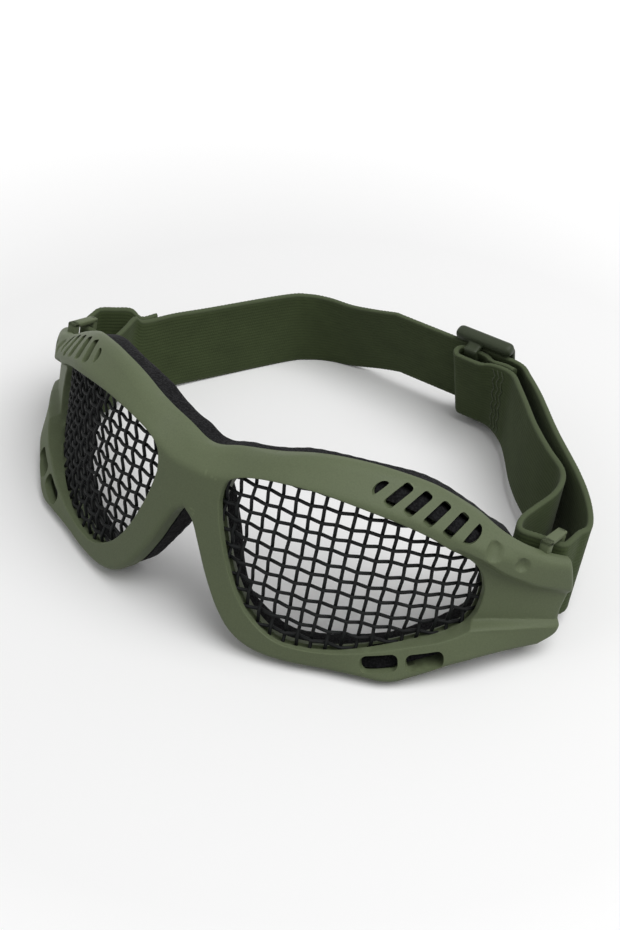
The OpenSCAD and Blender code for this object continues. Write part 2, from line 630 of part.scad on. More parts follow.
// Section of the webbing at one station, with its thickness square to the way it runs.
function ribbon_rows(path, steps) =
    let (line = open_spline(path, steps), n = len(line)) [
    for (i = [0 : n - 1])
        let (p = line[i], a = line[max(0, i - 1)], b = line[min(n - 1, i + 1)],
            way = [b.x - a.x, b.y - a.y], out = [-way.y, way.x] / norm(way) * strap_t / 2,
            up = strap_w * [0, sin(p[3]), cos(p[3])], low = [p.x, p.y, p.z])
        [low - [out.x, out.y, 0], low + [out.x, out.y, 0],
        low + up + [out.x, out.y, 0], low + up - [out.x, out.y, 0]]
];
room = 300;
module above_floor() {
    intersection() {
        children();
        translate([-room / 2, -room / 2, 0]) cube([room, room, room / 2]);
    }
}
module ribbon(rows) {
    color(webbing_green) above_floor() loft(rows, false);
}
band_steps = 3;
webbing_rows = ribbon_rows(webbing, band_steps);
function webbing_part(from, to) =
    [for (i = [from * band_steps : to * band_steps]) webbing_rows[i]];
module strap_sewn_loop() { ribbon(webbing_part(0, band_starts)); }
module strap_band() { ribbon(webbing_part(band_starts, loop_starts)); }
module strap_free_loop() { ribbon(webbing_part(loop_starts, return_starts)); }
module strap_return() { ribbon(webbing_part(return_starts, len(webbing) - 1)); }
fold_rows = ribbon_rows(fold_path, 2);
module slider_fold() { ribbon(fold_rows); }

// Slider with two outer bars behind the strap and a middle bar in front of it.
rail_h = (slider_h - strap_w - 2 * strap_play) / 2;
outer_bar_from = strap_t / 2 + strap_play;
rail_depth = outer_bar_from + slider_t - mid_bar_from;
rail_round = 1.4;
module rounded(w, d, r) {
    translate([r, 0]) square([w - 2 * r, d]);
    translate([0, r]) square([w, d - 2 * r]);
    for (x = [r, w - r], y = [r, d - r]) translate([x, y]) circle(r, $fn = 32);
}
module slider() {
    color(olive) above_floor() at_slider() {
        for (z = [-strap_play - rail_h, strap_w + strap_play])
            translate([-slider_l / 2, mid_bar_from, z])
                linear_extrude(rail_h) rounded(slider_l, rail_depth, rail_round);
        for (x = [-slider_l / 2, slider_l / 2 - slider_bar_w])
            translate([x, outer_bar_from, -strap_play])
                cube([slider_bar_w, slider_t, strap_w + 2 * strap_play]);
        translate([mid_bar_x, mid_bar_from, -strap_play])
            cube([mid_bar_w, slider_t, strap_w + 2 * strap_play]);
    }
}

// Short raised stitches that hold the two folded ends of the webbing. Each lies on axes taken
// from the face of the webbing there; corner 0 names its outer face and corner 1 its inner.
stitch_l = 2.2;
stitch_w = 0.6;
stitch_h = 0.3;
stitch_lift = 0.14;
stitch_rows = 3;
stitch_row_pitch = 1.6;
stitch_count = 8;
stitch_from = 1.4;
stitch_pitch = (strap_w - 2) / stitch_count;
function face_point(rows, corner, i, share, high) =
    mix(mix(rows[i][corner], rows[i + 1][corner], share),
        mix(rows[i][3 - corner], rows[i + 1][3 - corner], share), high);
module stitch_on_face(rows, corner, along, high) {
    i = floor(along);
    line = face_point(rows, corner, i, 1, high) - face_point(rows, corner, i, 0, high);
    side = (2 * corner - 1) * line / norm(line);
    rise = face_point(rows, corner, i, along - i, 1) - face_point(rows, corner, i, along - i, 0);
    face = cross(rise, side) / norm(cross(rise, side));
    up = cross(side, face);
    at = face_point(rows, corner, i, along - i, high);
    multmatrix([for (k = [0 : 2]) [side[k], face[k], up[k], at[k]]])
        translate([-stitch_w / 2, stitch_lift, -stitch_l / 2])
        cube([stitch_w, stitch_h, stitch_l]);
}
module seam(rows, corner, seam_in) {
    facet = norm(rows[1][0] - rows[0][0]);
    color(thread_green)
        for (r = [0 : stitch_rows - 1], k = [0 : stitch_count - 1])
            stitch_on_face(rows, corner, (seam_in + r * stitch_row_pitch) / facet,
                (stitch_from + k * stitch_pitch + stitch_l / 2) / strap_w);
}
loop_seam_in = 2.4;
fold_seam_in = 1.4;
module loop_stitching() { seam(webbing_rows, 0, loop_seam_in); }
module fold_stitching() { seam(fold_rows, 1, fold_seam_in); }

// Puts the middle of the whole object, front to back, over the origin.
front_y = min([for (r = frame_rows, p = r) stand_point(p).y]);
rear_y = slider_point(0, outer_bar_from + slider_t, -strap_play - rail_h).y;
module centred() {
    translate([0, -(front_y + rear_y) / 2, 0]) children();
}

centred() frame();
centred() mesh_lens(1);  // mesh_lens_left
centred() mesh_lens(-1);  // mesh_lens_right
centred() face_foam();
centred() brow_vent_foam(1);  // brow_vent_foam_left
centred() brow_vent_foam(-1);  // brow_vent_foam_right
centred() cheek_vent_foam(1);  // cheek_vent_foam_left
centred() cheek_vent_foam(-1);  // cheek_vent_foam_right
centred() strap_band();
centred() strap_sewn_loop();
centred() strap_free_loop();
centred() strap_return();
centred() slider();
centred() slider_fold();
centred() loop_stitching();
centred() fold_stitching();
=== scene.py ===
import logging
import math
from dataclasses import dataclass, field
from enum import Enum
from typing import Any, Optional, Sequence

import bmesh
import bpy
import numpy as np
from mathutils import Matrix, Vector


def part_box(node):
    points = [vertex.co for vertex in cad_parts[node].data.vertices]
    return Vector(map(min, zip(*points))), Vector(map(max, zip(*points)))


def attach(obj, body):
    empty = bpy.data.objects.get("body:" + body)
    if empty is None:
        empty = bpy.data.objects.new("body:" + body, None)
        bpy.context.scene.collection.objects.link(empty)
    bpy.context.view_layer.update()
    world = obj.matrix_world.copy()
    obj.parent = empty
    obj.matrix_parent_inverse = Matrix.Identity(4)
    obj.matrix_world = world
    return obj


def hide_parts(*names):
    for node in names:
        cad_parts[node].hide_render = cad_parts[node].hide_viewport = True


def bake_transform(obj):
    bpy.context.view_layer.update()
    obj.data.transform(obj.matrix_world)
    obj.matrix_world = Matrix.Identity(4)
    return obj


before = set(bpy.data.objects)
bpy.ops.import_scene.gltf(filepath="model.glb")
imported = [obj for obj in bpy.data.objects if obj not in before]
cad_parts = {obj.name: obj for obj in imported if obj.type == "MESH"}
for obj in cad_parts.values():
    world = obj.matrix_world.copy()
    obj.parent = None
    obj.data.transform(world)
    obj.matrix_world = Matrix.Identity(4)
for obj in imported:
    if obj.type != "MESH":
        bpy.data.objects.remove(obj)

LOG = logging.getLogger("goggles")
MM = 0.001
Colour = tuple[float, float, float]
MeshData = tuple[np.ndarray, list]


class Side(Enum):
    """The wearer's left is at +X and the wearer's right at -X."""

    LEFT = 1
    RIGHT = -1

    @property
    def word(self) -> str:
        """Name of the side as the CAD nodes spell it."""
        return self.name.lower()


class Body(Enum):
    """The moving bodies of the goggles."""

    FACE = "face"
    STRAP = "strap"
    SLIDER = "slider"


# Curves and blends that the forms below share.


def ramp(x: Any, low: float, high: float) -> Any:
    """Smooth step from 0 at low to 1 at high."""
    t = np.clip((np.asarray(x, float) - low) / (high - low), 0.0, 1.0)
    return t * t * (3 - 2 * t)


def mix(a: Any, b: Any, t: Any) -> Any:
    """Straight blend from a to b."""
    return a + (b - a) * t


def soft_plus(x: np.ndarray, width: float) -> np.ndarray:
    """The positive part of x with its corner rounded over width."""
    return width * np.logaddexp(0.0, x / width)


def edge_drop(distance: np.ndarray, radius: float) -> np.ndarray:
    """Drop of a rounded edge of that radius at a distance in from the edge."""
    inside = np.clip(radius - distance, 0.0, radius)
    return radius - np.sqrt(radius * radius - inside * inside)


def spline_point(a: np.ndarray, b: np.ndarray, c: np.ndarray, d: np.ndarray,
                 t: float) -> np.ndarray:
    """Point of a Catmull-Rom curve between b and c."""
    return 0.5 * (2 * b + (c - a) * t + (2 * a - 5 * b + 4 * c - d) * t * t
                  + (3 * b - a - 3 * c + d) * t * t * t)


def loop_spline(points: np.ndarray, corners: Sequence[int], steps: int) -> np.ndarray:
    """Closed curve through points, kept sharp at the corners.

    Args:
        points: Rows of coordinates.
        corners: Indices of the points that stay sharp.
        steps: Number of curve points for each given point.

    Returns:
        The curve as rows of coordinates.
    """
    count = len(points)
    rows = []
    for i in range(count):
        b, c = points[i], points[(i + 1) % count]
        a = 2 * b - c if i in corners else points[i - 1]
        d = 2 * c - b if (i + 1) % count in corners else points[(i + 2) % count]
        rows += [spline_point(a, b, c, d, k / steps) for k in range(steps)]
    return np.array(rows)


def open_spline(points: np.ndarray, steps: int) -> np.ndarray:
    """Open curve through points, with steps curve points between two neighbours."""
    count = len(points)
    rows = []
    for i in range(count - 1):
        b, c = points[i], points[i + 1]
        a = points[i - 1] if i else 2 * b - c
        d = points[i + 2] if i + 2 < count else 2 * c - b
        rows += [spline_point(a, b, c, d, k / steps) for k in range(steps)]
    return np.array(rows + [points[-1]])


def unit(rows: np.ndarray) -> np.ndarray:
    """Rows scaled to length 1."""
    return rows / np.linalg.norm(rows, axis=-1, keepdims=True)


# Mesh helpers. Points come in millimetres and leave in metres.


def piece_from(name: str, points: np.ndarray, faces: list,
               uv: Optional[np.ndarray] = None) -> bpy.types.Object:
    """Makes a mesh piece.

    Args:
        name: Name of the piece.
        points: Rows of x, y, z in millimetres.
        faces: Lists of point indices.
        uv: Rows of u, v for each point, if the finish needs them.

    Returns:
        The new object, linked to the scene.
    """
    mesh = bpy.data.meshes.new(name)
    mesh.from_pydata((np.asarray(points) * MM).tolist(), [], faces)
    if uv is not None:
        layer = mesh.uv_layers.new(name="cloth")
        loops = np.empty(len(mesh.loops), int)
        mesh.loops.foreach_get("vertex_index", loops)
        layer.data.foreach_set("uv", np.asarray(uv, float)[loops].ravel())
    piece = bpy.data.objects.new(name, mesh)
    bpy.context.scene.collection.objects.link(piece)
    return piece


def soften(piece: bpy.types.Object, sharp_degrees: float = 40.0) -> None:
    """Turns faces outwards and shades them smooth up to an angle."""
    work = bmesh.new()
    work.from_mesh(piece.data)
    bmesh.ops.recalc_face_normals(work, faces=work.faces)
    work.to_mesh(piece.data)
    work.free()
    piece.data.shade_smooth()
    piece.data.set_sharp_from_angle(angle=math.radians(sharp_degrees))


def ring_faces(rings: int, around: int, closed: bool) -> list:
    """Quads between rings of points.

    Args:
        rings: Number of rings.
        around: Points in a ring.
        closed: Whether the last ring joins the first; otherwise both ends are capped.

    Returns:
        Faces as lists of indices.
    """
    faces = []
    for i in range(rings if closed else rings - 1):
        here, there = i * around, (i + 1) % rings * around
        for j in range(around):
            k = (j + 1) % around
            faces.append([here + j, here + k, there + k, there + j])
    if not closed:
        faces.append(list(range(around))[::-1])
        faces.append([(rings - 1) * around + j for j in range(around)])
    return faces


def join_meshes(parts: list[MeshData]) -> MeshData:
    """Puts several (points, faces) pairs into one pair."""
    points, faces, start = [], [], 0
    for these, ways in parts:
        points.append(these)
        faces += [[start + i for i in face] for face in ways]
        start += len(these)
    return np.concatenate(points), faces


def tube(path: np.ndarray, normals: np.ndarray, radius: float, around: int = 8) -> MeshData:
    """Round tube along a path.

    Args:
        path: Rows of the middle line.
        normals: A direction across the path at each row.
        radius: Radius of the tube.
        around: Sides of the tube.

    Returns:
        Points and faces.
    """
    way = unit(np.gradient(path, axis=0))
    side = unit(np.cross(way, normals))
    lift = np.cross(side, way)
    turns = np.arange(around) * 2 * math.pi / around
    rings = (path[:, None] + radius * (np.cos(turns)[None, :, None] * side[:, None]
                                       + np.sin(turns)[None, :, None] * lift[:, None]))
    return rings.reshape(-1, 3), ring_faces(len(path), around, False)


def rounded_box(low: Sequence[float], high: Sequence[float], radius: float,
                segments: int = 4) -> MeshData:
    """Box with all its edges rounded.

    Args:
        low: Lowest corner.
        high: Highest corner.
        radius: Radius of the edges.
        segments: Faces across a rounded edge.

    Returns:
        Points and faces.
    """
    low_point, high_point = np.array(low, float), np.array(high, float)
    middle, size = (low_point + high_point) / 2, high_point - low_point
    work = bmesh.new()
    bmesh.ops.create_cube(work, size=1.0)
    for vert in work.verts:
        vert.co = Vector(middle + np.array(vert.co) * size)
    bmesh.ops.bevel(work, geom=list(work.edges), offset=radius, segments=segments, profile=0.5,
                    affect="EDGES")
    work.verts.index_update()
    points = np.array([tuple(vert.co) for vert in work.verts])
    faces = [[vert.index for vert in face.verts] for face in work.faces]
    work.free()
    return points, faces


def applied(piece: bpy.types.Object) -> None:
    """Replaces the mesh of a piece by what its modifiers make of it."""
    depsgraph = bpy.context.evaluated_depsgraph_get()
    mesh = bpy.data.meshes.new_from_object(piece.evaluated_get(depsgraph))
    piece.modifiers.clear()
    piece.data = mesh


def close_middle(piece: bpy.types.Object) -> None:
    """Welds two mirrored halves at the middle and drops the faces between them."""
    work = bmesh.new()
    work.from_mesh(piece.data)
    middle = [face for face in work.faces if all(abs(vert.co.x) < 1e-6 for vert in face.verts)]
    bmesh.ops.delete(work, geom=middle, context="FACES_ONLY")
    near = [vert for vert in work.verts if abs(vert.co.x) < 1e-6]
    bmesh.ops.remove_doubles(work, verts=near, dist=2e-6)
    work.to_mesh(piece.data)
    work.free()


def removed(piece: bpy.types.Object) -> None:
    """Takes a helper object out of the scene."""
    mesh = piece.data
    bpy.data.objects.remove(piece)
    bpy.data.meshes.remove(mesh)


def settle(piece: bpy.types.Object, material: bpy.types.Material, nodes: Sequence[str],
           body: Optional[Body]) -> None:
    """Dresses a piece and ties it to the CAD frame.

    Args:
        piece: The finished piece.
        material: Its material.
        nodes: CAD nodes that the piece stands for.
        body: Body it rides on, or None where it bends between two bodies.
    """
    piece.data.materials.clear()
    piece.data.materials.append(material)
    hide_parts(*nodes)
    if body is not None:
        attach(piece, body.value)
    LOG.info("%s: %d faces, for %s", piece.name, len(piece.data.polygons), ", ".join(nodes))


# Shader node groups, each built once and shared by the finishes.


class NodeBench:
    """Adds and links shader nodes in one tree."""

    def __init__(self, tree: bpy.types.NodeTree) -> None:
        """Keeps the tree that the nodes go into."""
        self.tree = tree

    def add(self, kind: str, inputs: Optional[dict] = None, **options: Any) -> bpy.types.Node:
        """Adds a node.

        Args:
            kind: Blender's name of the node type.
            inputs: Values or sockets for the inputs, by name or index.
            **options: Settings of the node itself.

        Returns:
            The new node.
        """
        node = self.tree.nodes.new(kind)
        for key, value in options.items():
            setattr(node, key, value)
        self.feed(node, inputs or {})
        return node

    def feed(self, node: bpy.types.Node, inputs: dict) -> None:
        """Gives the inputs of a node their values or links them to sockets."""
        for key, value in inputs.items():
            if isinstance(value, bpy.types.NodeSocket):
                self.tree.links.new(value, node.inputs[key])
            else:
                node.inputs[key].default_value = value

    def bump(self, height: Any, strength: float, distance: float) -> bpy.types.NodeSocket:
        """Normal of a surface with the given height on it."""
        inputs = {"Height": height, "Strength": strength, "Distance": distance}
        return self.add("ShaderNodeBump", inputs).outputs[0]

    def math(self, operation: str, a: Any, b: Any = 0.0) -> bpy.types.NodeSocket:
        """Result of a math node on two values."""
        return self.add("ShaderNodeMath", {0: a, 1: b}, operation=operation).outputs[0]

    def spread(self, value: Any, low: float, high: float, to_low: float = 0.0,
               to_high: float = 1.0) -> bpy.types.NodeSocket:
        """Value mapped from one range to another and kept inside it."""
        inputs = {0: value, 1: low, 2: high, 3: to_low, 4: to_high}
        return self.add("ShaderNodeMapRange", inputs).outputs[0]

    def noise(self, place: Any, scale: Any, detail: float = 3.0) -> bpy.types.NodeSocket:
        """Value of a noise texture."""
        inputs = {"Vector": place, "Scale": scale, "Detail": detail}
        return self.add("ShaderNodeTexNoise", inputs).outputs[0]

    def blend(self, factor: Any, a: Any, b: Any) -> bpy.types.NodeSocket:
        """Colour between a and b."""
        return self.add("ShaderNodeMix", {0: factor, 6: a, 7: b}, data_type="RGBA").outputs[2]


def new_group(name: str, inputs: Sequence[tuple[str, float]],
              outputs: Sequence[str]) -> tuple[NodeBench, Any, Any]:
    """Starts a node group with number sockets.

    Args:
        name: Name of the group.
        inputs: Names and first values of its inputs.
        outputs: Names of its outputs.

    Returns:
        The bench, the group's input node and its output node.
    """
    tree = bpy.data.node_groups.new(name, "ShaderNodeTree")
    for label, value in inputs:
        socket = tree.interface.new_socket(label, in_out="INPUT", socket_type="NodeSocketFloat")
        socket.default_value = value
    for label in outputs:
        tree.interface.new_socket(label, in_out="OUTPUT", socket_type="NodeSocketFloat")
    bench = NodeBench(tree)
    return bench, bench.add("NodeGroupInput"), bench.add("NodeGroupOutput")


class Effects:
    """The shared shader groups: grain, edge lightening (partly wear, partly painted highlight), dust
    and weave.
    """

    def __init__(self) -> None:
        """Builds each group once."""
        self.grain = self._grain()
        self.edge_wear_and_highlight = self._edge_wear_and_highlight()
        self.dust = self._dust()
        self.weave = self._weave()

    @staticmethod
    def _grain() -> bpy.types.NodeTree:
        """Fine grain of a moulded or coated surface, and slow changes of tone."""
        bench, given, out = new_group("fine grain", [("Scale", 2600.0), ("Patch Scale", 70.0)],
                                      ["Height", "Speckle", "Patch"])
        place = bench.add("ShaderNodeTexCoord").outputs["Object"]
        fine = bench.noise(place, given.outputs["Scale"], 2.0)
        patch = bench.noise(place, given.outputs["Patch Scale"], 4.0)
        bench.feed(out, {"Height": fine, "Speckle": bench.spread(fine, 0.3, 0.7),
                         "Patch": bench.spread(patch, 0.3, 0.7)})
        return bench.tree

    @staticmethod
    def _edge_wear_and_highlight() -> bpy.types.NodeTree:
        """Mask of the outer edges, broken up by noise, that lightens them: partly rubbed wear, partly
        painted highlight.
        """
        bench, given, out = new_group("edge wear and highlight", [("Amount", 0.5), ("Break Up Scale", 300.0)],
                                      ["Mask"])
        bent = bench.add("ShaderNodeNewGeometry").outputs["Pointiness"]
        place = bench.add("ShaderNodeTexCoord").outputs["Object"]
        broken = bench.spread(bench.noise(place, given.outputs["Break Up Scale"]), 0.35, 0.6)
        edge = bench.spread(bent, 0.52, 0.6)
        rubbed = bench.math("MULTIPLY", edge, broken)
        bench.feed(out, {"Mask": bench.math("MULTIPLY", rubbed, given.outputs["Amount"])})
        return bench.tree

    @staticmethod
    def _dust() -> bpy.types.NodeTree:
        """Mask of the dust that lies in hollows."""
        bench, given, out = new_group("dust", [("Amount", 0.2), ("Scale", 500.0)], ["Mask"])
        bent = bench.add("ShaderNodeNewGeometry").outputs["Pointiness"]
        place = bench.add("ShaderNodeTexCoord").outputs["Object"]
        hollow = bench.spread(bent, 0.5, 0.44)
        cloud = bench.spread(bench.noise(place, given.outputs["Scale"], 5.0), 0.4, 0.75)
        lying = bench.math("MULTIPLY", hollow, cloud)
        bench.feed(out, {"Mask": bench.math("MULTIPLY", lying, given.outputs["Amount"])})
        return bench.tree

    @staticmethod
    def _weave() -> bpy.types.NodeTree:
        """Ribs along a webbing and the picks across them, from its own length and width."""
        bench, given, out = new_group("weave", [("Rib Pitch", 1.0), ("Pick Pitch", 0.6)],
                                      ["Height", "Valley"])
        cloth = bench.add("ShaderNodeUVMap", uv_map="cloth").outputs[0]
        split = bench.add("ShaderNodeSeparateXYZ", {0: cloth})
        ribs = bench.math("DIVIDE", split.outputs[1], given.outputs["Rib Pitch"])
        picks = bench.math("DIVIDE", split.outputs[0], given.outputs["Pick Pitch"])
        step = bench.math("MULTIPLY", bench.math("FLOOR", ribs), 0.5)
        rib_wave = bench.math("SINE", bench.math("MULTIPLY", bench.math("FRACT", ribs), math.pi))
        pick_place = bench.math("FRACT", bench.math("ADD", picks, step))
        pick_wave = bench.math("SINE", bench.math("MULTIPLY", pick_place, math.pi))
        height = bench.math("MULTIPLY", bench.math("POWER", rib_wave, 0.6),
                            bench.math("ADD", bench.math("MULTIPLY", pick_wave, 0.2), 0.8))
        bench.feed(out, {"Height": height, "Valley": bench.math("SUBTRACT", 1.0, rib_wave)})
        return bench.tree


def place_group(bench: NodeBench, group: bpy.types.NodeTree, **values: float) -> bpy.types.Node:
    """Puts a shared group into a material with its own values."""
    inputs = {key.replace("_", " ").title(): value for key, value in values.items()}
    return bench.add("ShaderNodeGroup", inputs, node_tree=group)


def shade(colour: Colour, factor: float) -> tuple[float, float, float, float]:
    """Colour made lighter or darker, with full alpha."""
    return (colour[0] * factor, colour[1] * factor, colour[2] * factor, 1.0)


def patchy(bench: NodeBench, grain: bpy.types.Node, colour: Colour, dark: float,
           light: float) -> bpy.types.NodeSocket:
    """Colour that changes slowly between a darker and a lighter tone."""
    return bench.blend(grain.outputs["Patch"], shade(colour, dark), shade(colour, light))


def fresh_material(name: str) -> tuple[bpy.types.Material, NodeBench, bpy.types.Node]:
    """A new material with its bench and its Principled shader."""
    material = bpy.data.materials.new(name)
    material.use_nodes = True
    return material, NodeBench(material.node_tree), material.node_tree.nodes["Principled BSDF"]


@dataclass(frozen=True)
class MouldedPlastic:
    """Olive moulded plastic with a fine grain, lighter along its edges from rubbed wear and a painted
    highlight.
    """

    name: str
    colour: Colour
    roughness: float = 0.56
    grain: float = 2600.0
    grain_height: float = 0.00002
    wear: float = 0.5

    def material(self, effects: Effects) -> bpy.types.Material:
        """Builds the material."""
        material, bench, shader = fresh_material(self.name)
        grain = place_group(bench, effects.grain, scale=self.grain, patch_scale=60.0)
        wear = place_group(bench, effects.edge_wear_and_highlight, amount=self.wear, break_up_scale=420.0)
        dust = place_group(bench, effects.dust, amount=0.12, scale=600.0)
        toned = patchy(bench, grain, self.colour, 0.92, 1.05)
        speckled = bench.blend(bench.math("MULTIPLY", grain.outputs["Speckle"], 0.32), toned,
                               shade(self.colour, 1.45))
        # Edges made lighter: partly rubbed wear, partly a painted highlight along the edges.
        rubbed = bench.blend(wear.outputs["Mask"], speckled, shade(self.colour, 1.7))
        dusty = bench.blend(dust.outputs["Mask"], rubbed, (0.16, 0.155, 0.125, 1.0))
        rough = bench.spread(grain.outputs["Patch"], 0.0, 1.0, self.roughness - 0.05,
                             self.roughness + 0.06)
        normal = bench.bump(grain.outputs["Height"], 0.6, self.grain_height)
        bench.feed(shader, {"Base Color": dusty, "Roughness": rough, "Normal": normal,
                            "Specular IOR Level": 0.25})
        return material


@dataclass(frozen=True)
class CoatedWire:
    """Black coated steel wire, its coating rubbed thin on the crowns."""

    name: str = "lens wire coating"
    colour: Colour = (0.004, 0.0048, 0.005)

    def material(self, effects: Effects) -> bpy.types.Material:
        """Builds the material."""
        material, bench, shader = fresh_material(self.name)
        grain = place_group(bench, effects.grain, scale=3800.0, patch_scale=160.0)
        wear = place_group(bench, effects.edge_wear_and_highlight, amount=0.15, break_up_scale=900.0)
        toned = patchy(bench, grain, self.colour, 0.7, 1.35)
        rubbed = bench.blend(wear.outputs["Mask"], toned, (0.05, 0.052, 0.05, 1.0))
        rough = bench.spread(grain.outputs["Speckle"], 0.0, 1.0, 0.5, 0.66)
        normal = bench.bump(grain.outputs["Height"], 0.4, 0.00003)
        bench.feed(shader, {"Base Color": rubbed, "Roughness": rough, "Normal": normal,
                            "Specular IOR Level": 0.16})
        return material


@dataclass(frozen=True)
class OpenFoam:
    """Black open-cell foam, with painted shade in the hollows of its cells."""

    name: str = "black foam"
    colour: Colour = (0.011, 0.011, 0.012)
    cell: float = 1900.0

    def material(self, effects: Effects) -> bpy.types.Material:
        """Builds the material."""
        material, bench, shader = fresh_material(self.name)
        place = bench.add("ShaderNodeTexCoord").outputs["Object"]
        cells = bench.add("ShaderNodeTexVoronoi", {"Vector": place, "Scale": self.cell},
                          feature="SMOOTH_F1").outputs["Distance"]
        walls = bench.spread(cells, 0.15, 0.6)
        dust = place_group(bench, effects.dust, amount=0.15, scale=800.0)
        grain = place_group(bench, effects.grain, scale=5200.0, patch_scale=90.0)
        # Lighter at the cell middles and darker towards the low parts of the bump: painted shade in the
        # pore hollows.
        pores_shaded = bench.blend(walls, shade(self.colour, 1.6), shade(self.colour, 0.45))
        toned = bench.blend(bench.math("MULTIPLY", grain.outputs["Patch"], 0.3), pores_shaded,
                            shade(self.colour, 1.4))
        dusty = bench.blend(dust.outputs["Mask"], toned, (0.06, 0.06, 0.057, 1.0))
        rough = bench.spread(walls, 0.0, 1.0, 0.85, 0.98)
        height = bench.math("ADD", bench.math("MULTIPLY", walls, -1.0),
                            bench.math("MULTIPLY", grain.outputs["Height"], 0.4))
        bench.feed(shader, {"Base Color": dusty, "Roughness": rough,
                            "Normal": bench.bump(height, 0.8, 0.00012),
                            "Sheen Weight": 0.03, "Specular IOR Level": 0.1})
        return material


@dataclass(frozen=True)
class WovenElastic:
    """Olive elastic webbing with lengthwise ribs, fine picks, painted shade in the rib valleys and a
    painted highlight along both edges.
    """

    name: str = "strap webbing"
    colour: Colour = (0.052, 0.071, 0.028)
    width: float = 25.4
    edge_highlight: float = 1.3

    def material(self, effects: Effects) -> bpy.types.Material:
        """Builds the material."""
        material, bench, shader = fresh_material(self.name)
        weave = place_group(bench, effects.weave, rib_pitch=1.06, pick_pitch=0.62)
        grain = place_group(bench, effects.grain, scale=4200.0, patch_scale=110.0)
        cloth = bench.add("ShaderNodeUVMap", uv_map="cloth").outputs[0]
        across = bench.add("ShaderNodeSeparateXYZ", {0: cloth}).outputs[1]
        half = self.width / 2
        off_middle = bench.math("ABSOLUTE", bench.math("SUBTRACT", across, half))
        # Both edges of the webbing made paler: a painted highlight along the edges.
        edge_highlight = bench.spread(off_middle, half - self.edge_highlight, half - 0.3)
        toned = patchy(bench, grain, self.colour, 0.88, 1.14)
        # The valleys between the ribs are darkened: painted shade in the grooves of the weave.
        valley_shaded = bench.blend(bench.math("MULTIPLY", weave.outputs["Valley"], 0.32), toned,
                             shade(self.colour, 0.4))
        fibres = bench.blend(bench.math("MULTIPLY", grain.outputs["Speckle"], 0.18), valley_shaded,
                             shade(self.colour, 1.8))
        edge_highlighted = bench.blend(bench.math("MULTIPLY", edge_highlight, 0.75), fibres,
                            (0.085, 0.105, 0.058, 1.0))
        rough = bench.spread(weave.outputs["Height"], 0.0, 1.0, 0.95, 0.82)
        height = bench.math("ADD", weave.outputs["Height"],
                            bench.math("MULTIPLY", grain.outputs["Height"], 0.5))
        bench.feed(shader, {"Base Color": edge_highlighted, "Roughness": rough,
                            "Normal": bench.bump(height, 0.8, 0.0001), "Sheen Weight": 0.06,
                            "Sheen Roughness": 0.5, "Specular IOR Level": 0.15})
        return material


@dataclass(frozen=True)
class SewingThread:
    """Twisted olive thread."""

    name: str = "sewing thread"
    colour: Colour = (0.053, 0.07, 0.03)

    def material(self, effects: Effects) -> bpy.types.Material:
        """Builds the material."""
        material, bench, shader = fresh_material(self.name)
        grain = place_group(bench, effects.grain, scale=6000.0, patch_scale=300.0)
        rough = bench.spread(grain.outputs["Speckle"], 0.0, 1.0, 0.6, 0.85)
        normal = bench.bump(grain.outputs["Height"], 0.6, 0.00004)
        bench.feed(shader, {"Base Color": patchy(bench, grain, self.colour, 0.75, 1.3),
                            "Roughness": rough, "Normal": normal, "Sheen Weight": 0.15})
        return material


# The form of the face, on the same sizes as the CAD source.


